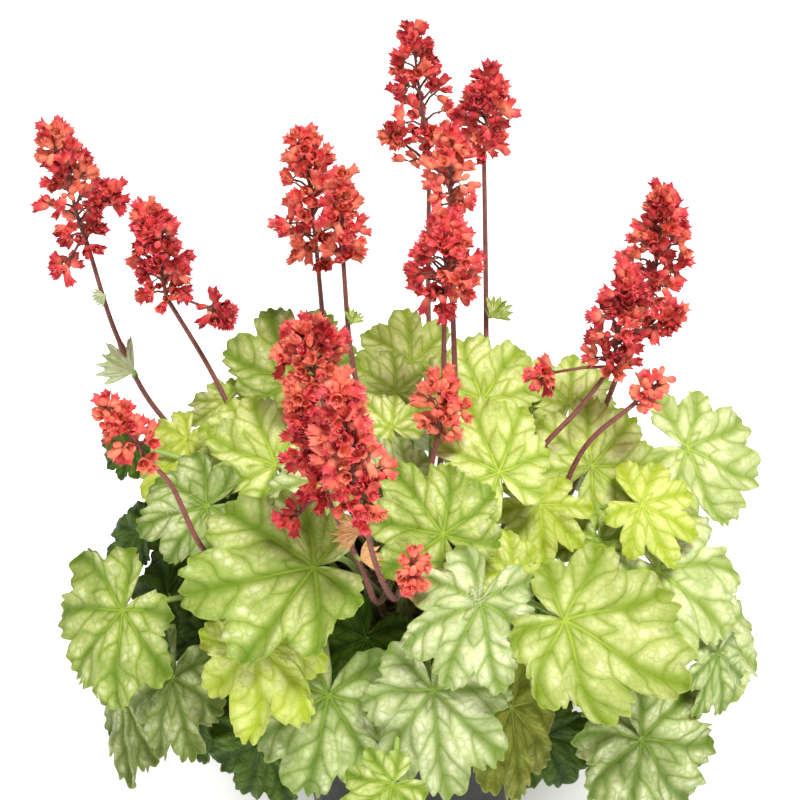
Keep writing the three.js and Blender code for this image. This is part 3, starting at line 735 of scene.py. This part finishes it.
def blade_faces(tiers, width):
    """The upper face, the lower one and the edge between them, for tiers of points on each face."""
    j = np.arange(width)
    k = (j + 1) % width
    fan = np.stack([np.zeros(width, int), 1 + j, 1 + k], axis=1)
    quads = 1 + ring_faces(tiers, width)[:, [0, 3, 2, 1]]
    lower = 1 + tiers * width
    rim = 1 + (tiers - 1) * width
    edge = np.stack([rim + j, lower + rim + j, lower + rim + k, rim + k], axis=1)
    return [fan, quads, lower + fan[:, ::-1], lower + quads[:, ::-1], edge]


def add_petiole(shape, row, foot):
    """A stalk that rises from its foot, clears the pot's rim and bends out to the blade's notch."""
    fine = min(1, row["length"] / 20)
    face = blade_frame(row)[0]
    neck = np.array(row["at"], float) - (VEIN["valley"] + 0.1) * face
    bend = foot + row["lean"] * (neck - foot)
    bend[2] = max(PETIOLE["over_rim"], foot[2] + PETIOLE["bend_rise"] * (neck[2] - foot[2]))
    t = np.linspace(0, 1, PETIOLE["steps"] + 1)[:, None]
    path = (1 - t) ** 2 * neck + 2 * t * (1 - t) * bend + t**2 * foot
    radii = fine * (PETIOLE["neck"] + (PETIOLE["foot"] - PETIOLE["neck"]) * t[:, 0])
    points, faces = tube(path, radii, 9)
    along = np.repeat(1 - t[:, 0], 9)
    shape.add(points, faces, 1, along=along)


def add_lint(shape, row, middle, count, spread, draw):
    """A tuft of fine pale fibres, such as seed down, caught on the upper face of a blade."""
    face, along, across = blade_frame(row)
    for _ in range(count):
        x, y = np.array(middle) + draw.normal(0, spread / 3, 2)
        centre = np.array(row["at"], float) + x * along + y * across + draw.uniform(*LINT["lift"]) * face
        heading = draw.normal(-0.4, 0.5)
        run = math.cos(heading) * along + math.sin(heading) * across
        bow = (draw.normal(0, LINT["bow"]) * np.cross(face, run) + LINT["bow"] * face) * spread
        t = np.linspace(-1, 1, 7)[:, None]
        path = centre + run * t * spread * draw.uniform(0.4, 0.9) + bow * (1 - t**2)
        shape.add(*tube(path, LINT["radius"], 3), 2)


def foot_of(node, depth):
    """The middle of the foot that a CAD shoot or scape sets on the crown, in millimetres."""
    mesh = frame["nodes"][node].data
    points = np.zeros(len(mesh.vertices) * 3)
    mesh.vertices.foreach_get("co", points)
    points = points.reshape(-1, 3) * 1000
    inside = np.hypot(points[:, 0], points[:, 1]) < CROWN["radius"]
    low = np.abs(points[:, 2] - CROWN["top"]) < depth
    return points[inside & low].mean(0)


# The blade's paint works from each point's distance from the main veins, its place between the
# side veins and its reach. Veins have a line and a wider halo of green, and a net of fine cells
# breaks up the fields between them, which are puffed, silvered and given a painted sheen.
soft = {"subsurface_weight": 0.1, "subsurface_scale": 0.002}
blade = Shader("heuchera_leaf", roughness=0.42, specular_ior_level=0.12, **soft)
vein = blade.node("SeparateXYZ", "X", Vector=blade.value("vein", "Vector"))
side_vein, vein_reach = vein.node.outputs["Y"], vein.node.outputs["Z"]
flat = blade.value("flat", "Vector")
drift = blade.noise(flat, 0.06, 2.0)
mottle = blade.noise(flat, 0.24, 3.0, 0.6)
grain = blade.noise(flat, 0.9, 3.0, 0.6)
share = blade.calc("FRACT", blade.total((mottle, 0.16), (drift, 0.35), start=side_vein))
from_side = blade.calc("ABSOLUTE", blade.calc("SUBTRACT", share, 0.5))
from_side = blade.calc("MULTIPLY", from_side, 2.0)
vein_width = blade.ramp(vein_reach, 0.0, 1.0, 0.46, 0.16)
main_line = blade.ramp(blade.calc("DIVIDE", vein, vein_width), 0.5, 1.6, 1.0, 0.0)
main_halo = blade.ramp(vein, 0.0, blade.ramp(vein_reach, 0.0, 1.0, 2.2, 5.8), 1.0, 0.0)
thinning = blade.ramp(vein, 1.0, 12.0, 0.085, 0.04)
side_line = blade.ramp(blade.calc("DIVIDE", from_side, thinning), 0.1, 1.0, 1.0, 0.0)
side_halo = blade.ramp(from_side, 0.0, 0.5, 1.0, 0.0)
stirring = blade.node("TexNoise", "Color", Vector=flat, Scale=0.28, Detail=2.0)
stir = blade.calc("MULTIPLY_ADD", stirring, (3.4, 3.4, 0.0), flat, kind="VectorMath")
edges = {"feature": "DISTANCE_TO_EDGE"}
cell = blade.node("TexVoronoi", "Distance", edges, Vector=stir, Scale=0.21)
net = blade.ramp(cell, 0.0, 0.08, 1.0, 0.0)
blister = blade.ramp(cell, 0.0, 0.4, 0.25, 1.0)
small_cell = blade.node("TexVoronoi", "Distance", edges, Vector=stir, Scale=0.5)
small_net = blade.ramp(small_cell, 0.0, 0.1, 1.0, 0.0)


def screened(shader, *layers):
    """The share left bare by several layers of colour, each a value and how strongly it covers."""
    return shader.product(*(shader.calc("MULTIPLY_ADD", value, -cover, 1.0) for value, cover in layers))


margin = blade.ramp(vein_reach, 0.8, 1.0)
heart = blade.ramp(vein_reach, 0.02, 0.24, 1.0, 0.0)
cloud = blade.ramp(drift, 0.34, 0.62, 1.0, 0.0)
bare = screened(
    blade, (main_halo, 0.78), (main_line, 0.5), (side_halo, 0.44), (side_line, 0.42),
    (net, 0.15), (small_net, 0.07), (margin, 0.36), (heart, 0.4), (cloud, 0.42),
)
# Cream on the puffs: the leaf's own silvering and a painted sheen where light would catch them.
puffed = blade.product(blade.ramp(from_side, 0.05, 0.9), blade.ramp(vein, 0.6, 5.5), blister)
patchy = blade.ramp(drift, 0.36, 0.6, 0.25, 1.0)
silvered_with_painted_sheen = blade.product(puffed, patchy, blade.value("silver"), bare, 0.55)
lit_core = blade.product(main_line, blade.ramp(vein_reach, 0.1, 0.7, 0.75, 0.0))
core = blade.value("core", "Color")
coat = blade.coats(
    blade.value("green", "Color"),
    (bare, blade.value("ground", "Color")),
    (silvered_with_painted_sheen, opaque(242, 244, 218)),
    (lit_core, core),
    (blade.ramp(vein_reach, 0.97, 0.995, 0.0, 0.5), core),
)
beneath = blade.coats(coat, (0.4, opaque(186, 198, 140)))
coat = blade.coats(coat, (blade.value("under"), beneath))
blade.paint(coat, blade.ramp(mottle, 0.3, 0.7, 0.36, 0.52))
sunken = ((side_line, -0.16), (net, -0.13), (small_net, -0.05))
blade.lift(blade.total(*sunken, (puffed, 0.7), (grain, 0.18), (mottle, 0.5)), 0.0009, 0.9)

stalk_paint = Shader("petiole", roughness=0.5, subsurface_weight=0.05, subsurface_scale=0.002)
lint_paint = Shader("lint", roughness=0.8, base_color=opaque(232, 228, 208))
streak = stalk_paint.noise(stalk_paint.place(), 300.0, 4.0, 0.6)
along = stalk_paint.value("along")
ruddy = stalk_paint.ramp(stalk_paint.total((streak, 0.7), (along, -0.35)), 0.1, 0.55)
# Painted shade: the petioles darken towards the crown, under the mound of leaves.
shaded = stalk_paint.ramp(along, 0.1, 0.8, 0.6, 0.0)
young_stalk, ruddy_stalk, shade_brown = opaque(150, 176, 84), opaque(122, 96, 62), opaque(44, 40, 24)
stalk_paint.paint(stalk_paint.coats(young_stalk, (ruddy, ruddy_stalk), (shaded, shade_brown)))
stalk_paint.lift(streak, 0.0004)

slots = {row["node"]: row["material_slot"] for row in frame["record"]["subparts"]}
for number, leaves in enumerate(SHOOTS, 1):
    node = f"shoot_{number:02d}"
    bud = foot_of(node, 1.0)
    shoot = Shape()
    sheath_path = [bud + [0, 0, h] for h in np.linspace(0, SHEATH["height"] + 3, len(SHEATH["girths"]))]
    shoot.add(*tube(sheath_path, SHEATH["girths"], 12), 1, along=0.0)
    middle = bud + [0, 0, SHEATH["height"] / 2]
    spread = SHEATH["radius"] - PETIOLE["foot"] if len(leaves) > 1 else 0
    for k, row in enumerate(leaves):
        away = np.array([row["at"][0] - bud[0], row["at"][1] - bud[1], 0.0])
        add_petiole(shoot, row, middle + spread * unit(away))
        add_blade(shoot, row, 100 * number + k)
        for tuft in row["lint"]:
            add_lint(shoot, row, *tuft, np.random.default_rng(90 * number + k))
    finishes = [blade.material, stalk_paint.material, lint_paint.material]
    shoot.make(f"foliage_{number:02d}", finishes, slots[node], node)

# ---------------------------------------------------------------- scapes
# Wiry brown-red flower stems, greener near the crown and furred with short pale hairs. Each one
# stands on the crown and ends at the foot of its flower head.
SCAPE = {"foot": 1.8, "neck": 1.2, "sides": 10, "steps": 44, "hairs": 700, "hair": 0.9}


def spray(start, to, radius, florets):
    return {"from": start, "to": to, "radius": radius, "florets": florets}


def spike(stem, tip, radius, florets, openness, sprays=()):
    row = {"stem": stem, "tip": tip, "radius": radius, "florets": florets}
    return {**row, "open": openness, "sprays": sprays}


# The leafy bracts on the scapes, by the number of the scape: how far up it each stands, and its
# blade. The two dry ones are on the front scapes.
BRACT = {"breadth": 1.0, "cut": 0.24, "taper": 0.4, "lean": 0.5, "fan": 0.4}
BRACTS = {
    1: [
        (0.69, leaf("bract", (-147, 66, 226), (-90, 40), -120, 23, BRACT)),
        (0.87, leaf("bract", (-161, 79, 264), (-90, 10), -70, 8, BRACT)),
    ],
    4: [(0.84, leaf("fresh", (-32, 32, 273), (-80, 30), 150, 9, BRACT))],
    6: [(0.63, leaf("fresh", (40, 82, 250), (-80, 35), 130, 14, BRACT))],
    13: [(0.83, leaf("dry", (-26, -118, 229), (-90, 40), 110, 12, BRACT))],
    14: [(0.93, leaf("dry", (-26, -133, 254), (-90, 40), -88, 14, BRACT))],
}


# Each spike: the points its scape passes, the last at the foot of its head, the head's tip, its
# radius, its number of florets, the share of them that are open, and the sprays below it.
SPIKES = [
    spike([(-132, 60, 201), (-155, 75, 240), (-170, 86, 292)], (-184, 90, 356), 23, 130, 0.92,
          [spray(0.05, (-178, 82, 285), 9, 15), spray(0.02, (-160, 84, 313), 11, 26)]),
    spike([(-75, 14, 194), (-107, 42, 245), (-126, 45, 281)], (-134, 50, 329), 22, 150, 0.92,
          [spray(0.02, (-105, 38, 279), 10, 26)]),
    spike([(-43, 39, 225), (-47, 60, 256), (-50, 72, 289)], (-56, 78, 358), 24, 160, 0.92),
    spike([(-28, 6, 245), (-33, 32, 262), (-36, 40, 304)], (-37, 44, 352), 16, 92, 0.9),
    spike([(10, 100, 189), (8, 130, 227), (8, 146, 304)], (-1, 155, 386), 24, 130, 0.88,
          [spray(0.05, (-6, 149, 319), 9, 16)]),
    spike([(37, 61, 208), (38, 90, 242), (36, 108, 333)], (38, 113, 375), 21, 120, 0.92),
    spike([(20, -12, 222), (20, -4, 254), (18, 22, 312), (18, 30, 336)], (17, 34, 376), 18, 88, 0.5),
    spike([(13, -16, 225), (14, -13, 258), (14, -10, 308)], (15, -8, 352), 24, 150, 0.92),
    spike([(76, -6, 190), (92, 8, 226), (108, 26, 262), (119, 30, 290)], (124, 38, 345), 22, 150, 0.92),
    spike([(44, -28, 189), (61, -32, 236), (80, -22, 254), (96, -14, 273)], (103, -10, 324), 21, 130, 0.85,
          [spray(0.02, (68, -18, 273), 9, 18), spray(0.25, (116, -18, 299), 11, 28)]),
    spike([(61, -40, 189), (84, -38, 244), (106, -34, 264)], (120, -32, 278), 13, 44, 0.15),
    spike([(-35, -30, 183), (-40, -30, 242), (-49, -14, 266)], (-52, -6, 291), 23, 130, 0.92),
    spike([(-7, -34, 170), (-18, -84, 182), (-27, -114, 226), (-42, -107, 257)],
          (-54, -102, 312), 18, 120, 0.92, [spray(0.02, (-54, -106, 248), 7, 10)]),
    spike([(-6, -58, 172), (-11, -98, 194), (-19, -125, 232), (-25, -132, 266)],
          (-35, -137, 336), 22, 170, 0.92),
    spike([(3, -59, 214), (5, -66, 235), (11, -58, 262)], (13, -52, 290), 18, 80, 0.5),
    spike([(-100, -70, 199), (-119, -57, 233), (-131, -56, 248)], (-148, -60, 281), 17, 66, 0.85),
    spike([(-3, -36, 175), (1, -80, 191), (-7, -110, 204), (-4, -121, 218)], (0, -126, 236), 11, 40, 0.35),
]


def through(points, steps):
    """A smooth path through the points: a centripetal Catmull-Rom curve, evenly sampled."""
    points = np.array(points, float)
    padded = np.concatenate([[2 * points[0] - points[1]], points, [2 * points[-1] - points[-2]]])
    path = []
    for p0, p1, p2, p3 in zip(padded, padded[1:], padded[2:], padded[3:]):
        t0, t1 = 0.0, math.sqrt(np.linalg.norm(p1 - p0))
        t2 = t1 + math.sqrt(np.linalg.norm(p2 - p1))
        t3 = t2 + math.sqrt(np.linalg.norm(p3 - p2))
        t = np.linspace(t1, t2, 24, endpoint=False)[:, None]
        a1 = ((t1 - t) * p0 + (t - t0) * p1) / (t1 - t0)
        a2 = ((t2 - t) * p1 + (t - t1) * p2) / (t2 - t1)
        a3 = ((t3 - t) * p2 + (t - t2) * p3) / (t3 - t2)
        b1 = ((t2 - t) * a1 + (t - t0) * a2) / (t2 - t0)
        b2 = ((t3 - t) * a2 + (t - t1) * a3) / (t3 - t1)
        path.append(((t2 - t) * b1 + (t - t1) * b2) / (t2 - t1))
    path = np.concatenate([*path, points[-1:]])
    run = np.concatenate([[0], np.cumsum(np.linalg.norm(np.diff(path, axis=0), axis=1))])
    wanted = np.linspace(0, run[-1], steps + 1)
    return np.stack([np.interp(wanted, run, path[:, i]) for i in range(3)], axis=1)


def add_hairs(shape, path, radii, count, length, finish, draw):
    """Short pale hairs that stand out all round a stalk, each a single narrow triangle."""
    place = draw.uniform(0, len(path) - 1.001, count)
    low = place.astype(int)
    share = (place - low)[:, None]
    centre = path[low] * (1 - share) + path[low + 1] * share
    along = path[low + 1] - path[low]
    along /= np.linalg.norm(along, axis=1)[:, None]
    out = draw.normal(size=(count, 3))
    out -= along * (out * along).sum(1)[:, None]
    out /= np.linalg.norm(out, axis=1)[:, None]
    root = centre + out * np.interp(place, np.arange(len(path)), radii)[:, None] * 0.96
    tip = root + (out + 0.5 * draw.normal(size=(count, 3))) * length * draw.uniform(0.5, 1.1, (count, 1))
    half = np.cross(out, along) * 0.05
    points = np.stack([root - half, root + half, tip], axis=1).reshape(-1, 3)
    shape.add(points, [np.arange(3 * count).reshape(-1, 3)], finish, along=0.5)


scape_paint = Shader("scape", roughness=0.55, subsurface_weight=0.04, subsurface_scale=0.001)
mottle = scape_paint.noise(scape_paint.place(), 420.0, 5.0, 0.65)
reddening = scape_paint.ramp(scape_paint.value("along"), 0.32, 0.58)
flecked = scape_paint.ramp(mottle, 0.45, 0.75)
scape_green, scape_red, scape_dark = opaque(134, 142, 82), opaque(128, 72, 62), opaque(90, 48, 46)
scape_paint.paint(scape_paint.coats(scape_green, (reddening, scape_red), (flecked, scape_dark)))
scape_paint.lift(mottle, 0.0003)
hair_paint = Shader("hair", roughness=0.6, base_color=opaque(214, 184, 176))

for number, row in enumerate(SPIKES, 1):
    node = f"scape_{number:02d}"
    path = through([foot_of(node, 4.0), *row["stem"]], SCAPE["steps"])
    radii = np.linspace(SCAPE["foot"], SCAPE["neck"], len(path))
    scape = Shape()
    along = np.repeat(np.linspace(0, 1, len(path)), SCAPE["sides"])
    scape.add(*tube(path, radii, SCAPE["sides"]), 2, along=along)
    add_hairs(scape, path, radii, SCAPE["hairs"], SCAPE["hair"], 3, np.random.default_rng(number))
    for k, (share, bract) in enumerate(BRACTS.get(number, ())):
        add_petiole(scape, bract, path[round(share * SCAPE["steps"])])
        add_blade(scape, bract, 7000 + 10 * number + k)
    finishes = [m.material for m in (blade, stalk_paint, scape_paint, hair_paint)]
    scape.make(f"stem_{number:02d}", finishes, "scape", node)

# ---------------------------------------------------------------- panicles
# Each head is a loose panicle: fine branchlets stand round the rachis in a spiral and carry
# clusters of little bells, each a coral tube that flares into five pointed lobes.
HEAD = {"foot_width": 0.65, "swell": 1.4, "close": 0.62, "pitch": (0.1, 1.3), "filled": 0.95, "full": 1.15}
FLORET = {"length": 7.2, "cluster": 4.6, "sides": 10, "sizes": (0.76, 1.06), "flared": 0.82}
PEDICEL = {"length": (1.0, 3.0), "lean": 0.7, "radii": (0.38, 0.5)}
BELL = [(0.0, 0.5), (0.7, 1.5), (2.2, 2.1), (4.0, 2.2), (5.2, 2.35), (6.7, 2.9), (8.0, 3.6)]
CUPPED = [(0.0, 0.5), (0.7, 1.3), (2.2, 1.9), (4.0, 2.05), (5.0, 2.1), (6.2, 2.2), (7.2, 1.9)]
BUD = [(0.0, 0.5), (0.6, 1.2), (1.8, 1.75), (3.2, 1.9), (4.4, 1.6), (5.1, 1.0), (5.3, 0.1)]
LOBED_FROM = 4
# How deep a red a head reaches, and the heads, by number, that are paler: those in bud or fading,
# and some open ones, paler as painted light against the shade in their bells' mouths.
DEEP = 1.15
PALER = {3: 0.4, 4: 0.5, 7: 0.5, 11: 0.6, 14: 0.65, 15: 0.2, 16: 0.5, 17: 0.2}


def unit_floret(profile, lobed):
    """A floret that opens along +Z, as points, faces and each point's share of its length."""
    sides = FLORET["sides"]
    tops = np.array(profile, float)
    rings = []
    for i, (z, r) in enumerate(tops):
        angle = np.arange(sides) * 2 * math.pi / sides
        odd = np.arange(sides) % 2
        reach_z = np.full(sides, z)
        reach_r = np.full(sides, r)
        if lobed and i >= LOBED_FROM:
            limit_z, limit_r = tops[LOBED_FROM]
            hold = 0.25 if i == len(tops) - 1 else 0.5
            reach_z = np.where(odd, limit_z + (z - limit_z) * hold, z)
            reach_r = np.where(odd, limit_r + (r - limit_r) * hold, r)
        rings.append(np.stack([reach_r * np.cos(angle), reach_r * np.sin(angle), reach_z], axis=1))
    points = np.concatenate(rings)
    faces = [ring_faces(len(tops), sides)]
    along = points[:, 2] / FLORET["length"]
    if lobed:
        heart_points, heart_faces, heart_along = floret_heart()
        faces.append(heart_faces + len(points))
        points = np.concatenate([points, heart_points])
        along = np.concatenate([along, heart_along])
    return points, faces, along


def floret_heart():
    """Five slim petals and five stamens that stand in the bell's mouth."""
    points, faces, along = [], [], []
    for i in range(5):
        angle = (i + 0.5) * 2 * math.pi / 5
        out = np.array([math.cos(angle), math.sin(angle), 0])
        side = np.array([-math.sin(angle), math.cos(angle), 0])
        base, tip = out * 1.8 + [0, 0, 4.4], out * 2.9 + [0, 0, 8.2]
        faces.append([len(points), len(points) + 1, len(points) + 2])
        points += [base - 0.6 * side, base + 0.6 * side, tip]
        along += [0.7, 0.7, 1.05]
        root, head = out * 0.4 + [0, 0, 3.4], out * 0.9 + [0, 0, 7.4]
        faces.append([len(points), len(points) + 1, len(points) + 2])
        points += [root, head - 0.28 * side, head + 0.28 * side]
        along += [1.4, 1.6, 1.6]
    return np.array(points), np.array(faces), np.array(along)


OPEN, HALF, CLOSED = unit_floret(BELL, True), unit_floret(CUPPED, True), unit_floret(BUD, False)


def add_floret(shape, stalk, direction, size, kind, hue, draw):
    """A bell or a bud at the end of its stalk, turned at random about the way it faces."""
    points, faces, along = kind
    direction = unit(direction)
    side = unit(np.cross(direction, draw.normal(size=3)))
    turn = np.stack([side, np.cross(direction, side), direction])
    squash = 1 + draw.normal(0, 0.07, 3)
    shape.add(stalk + (points * squash * size) @ turn, faces, 0, along=along, hue=hue)


def add_cluster(shape, inner, end, count, openness, depth, draw):
    """A cyme: a few florets on short pedicels, most at their branchlet's end and some along it."""
    out = unit(end - inner)
    tint = draw.uniform(0, depth)
    for k in range(count):
        along = 1.0 if k < 3 else draw.uniform(0.35, 1.0)
        start = inner + along * (end - inner)
        lean = unit(out + PEDICEL["lean"] * draw.normal(size=3))
        stalk = start + lean * draw.uniform(*PEDICEL["length"])
        shape.add(*tube([start - 0.3 * lean, stalk + 0.4 * lean], PEDICEL["radii"], 4), 1, along=1.0)
        chance = draw.uniform()
        kind = OPEN if chance < openness * FLORET["flared"] else HALF if chance < openness else CLOSED
        hue = np.clip(tint + draw.normal(0, 0.18), 0, 1)
        add_floret(shape, stalk, lean, draw.uniform(*FLORET["sizes"]), kind, hue, draw)


def add_head(shape, foot, tip, radius, florets, openness, depth, draw):
    """A panicle round the line from foot to tip, in the envelope of its CAD solid."""
    axis = tip - foot
    along = unit(axis)
    side = unit(np.cross([1, 0.2, 0], along))
    other = np.cross(along, side)
    sway = unit(draw.normal(size=3))
    share = np.linspace(0, 1, 12)[:, None]
    rachis = foot + axis * share * 0.94 + sway * np.sin(share * math.pi * 2)
    shape.add(*tube(rachis, np.linspace(SCAPE["neck"], 0.5, 12), 6), 1, along=1.0)
    left = round(florets * HEAD["full"])
    clusters = max(3, round(left / FLORET["cluster"]))
    for i in range(clusters):
        t = (i + 0.5) / clusters
        angle = i * math.pi * (3 - math.sqrt(5)) + draw.uniform(-0.4, 0.4)
        out = math.cos(angle) * side + math.sin(angle) * other
        direction = unit(out + along * np.interp(t, (0, 1), HEAD["pitch"]))
        swell = min(1, HEAD["foot_width"] + HEAD["swell"] * t)
        reach = max(radius * swell * (1 - HEAD["close"] * t**2), 8)
        root = foot + axis * t * HEAD["filled"]
        run = max(reach * draw.uniform(0.82, 1.06) - FLORET["length"] - 1, 0.6)
        end = root + direction * run
        knee = root + (direction * 0.5 + along * 0.12) * run
        shape.add(*tube([root, knee, end], [0.75, 0.6, 0.45], 5), 1, along=1.0)
        count = max(1, round(left / (clusters - i)))
        left -= count
        add_cluster(shape, root, end, count, openness if t < 0.85 else openness * 0.6, depth, draw)


# A bell is salmon at its foot, coral in its body and rose at its lobes, and its hue carries the
# whole of it towards peach or crimson. A share over 1.2 marks its stamens, which are pale.
soft = {"subsurface_weight": 0.06, "subsurface_scale": 0.0015}
petal = Shader("coral_bell", roughness=0.5, specular_ior_level=0.1, **soft)
share = petal.value("along")
hue = petal.value("hue")
salmon, coral = opaque(248, 152, 128), opaque(236, 84, 84)
rose, crimson = opaque(240, 98, 118), opaque(150, 4, 26)
peach, pollen = opaque(240, 146, 110), opaque(250, 168, 140)
tinge = petal.noise(petal.place(), 360.0, 3.0, 0.6)
body = petal.coats(
    salmon,
    (petal.ramp(share, 0.1, 0.7), coral),
    (petal.ramp(share, 0.74, 1.0), rose),
    (petal.ramp(hue, 0.45, 1.0, 0.0, 0.6), crimson),
    (petal.ramp(hue, 0.45, 0.0, 0.0, 0.7), peach),
    (petal.ramp(tinge, 0.5, 0.75, 0.0, 0.3), crimson),
    (petal.ramp(share, 1.2, 1.35), pollen),
)
petal.paint(body)
petal.lift(tinge, 0.0003)

for number, row in enumerate(SPIKES, 1):
    draw = np.random.default_rng(500 + number)
    tip = np.array(row["tip"], float)
    foot = np.array(row["stem"][-1], float)
    head = Shape()
    depth = PALER.get(number, DEEP)
    add_head(head, foot, tip, row["radius"], row["florets"], row["open"], depth, draw)
    for branch in row["sprays"]:
        start = foot + branch["from"] * (tip - foot)
        near = np.array(branch["to"], float)
        end = near + branch["radius"] * unit(near - start)
        head.add(*tube([start, (start + near) / 2 + [0, 0, 1], near], [0.9, 0.8, 0.7], 6), 1, along=1.0)
        add_head(head, near, end, branch["radius"] + 2, branch["florets"], row["open"], depth, draw)
    node = f"panicle_{number:02d}"
    head.make(f"bloom_{number:02d}", [petal.material, scape_paint.material], "coral_floret", node)
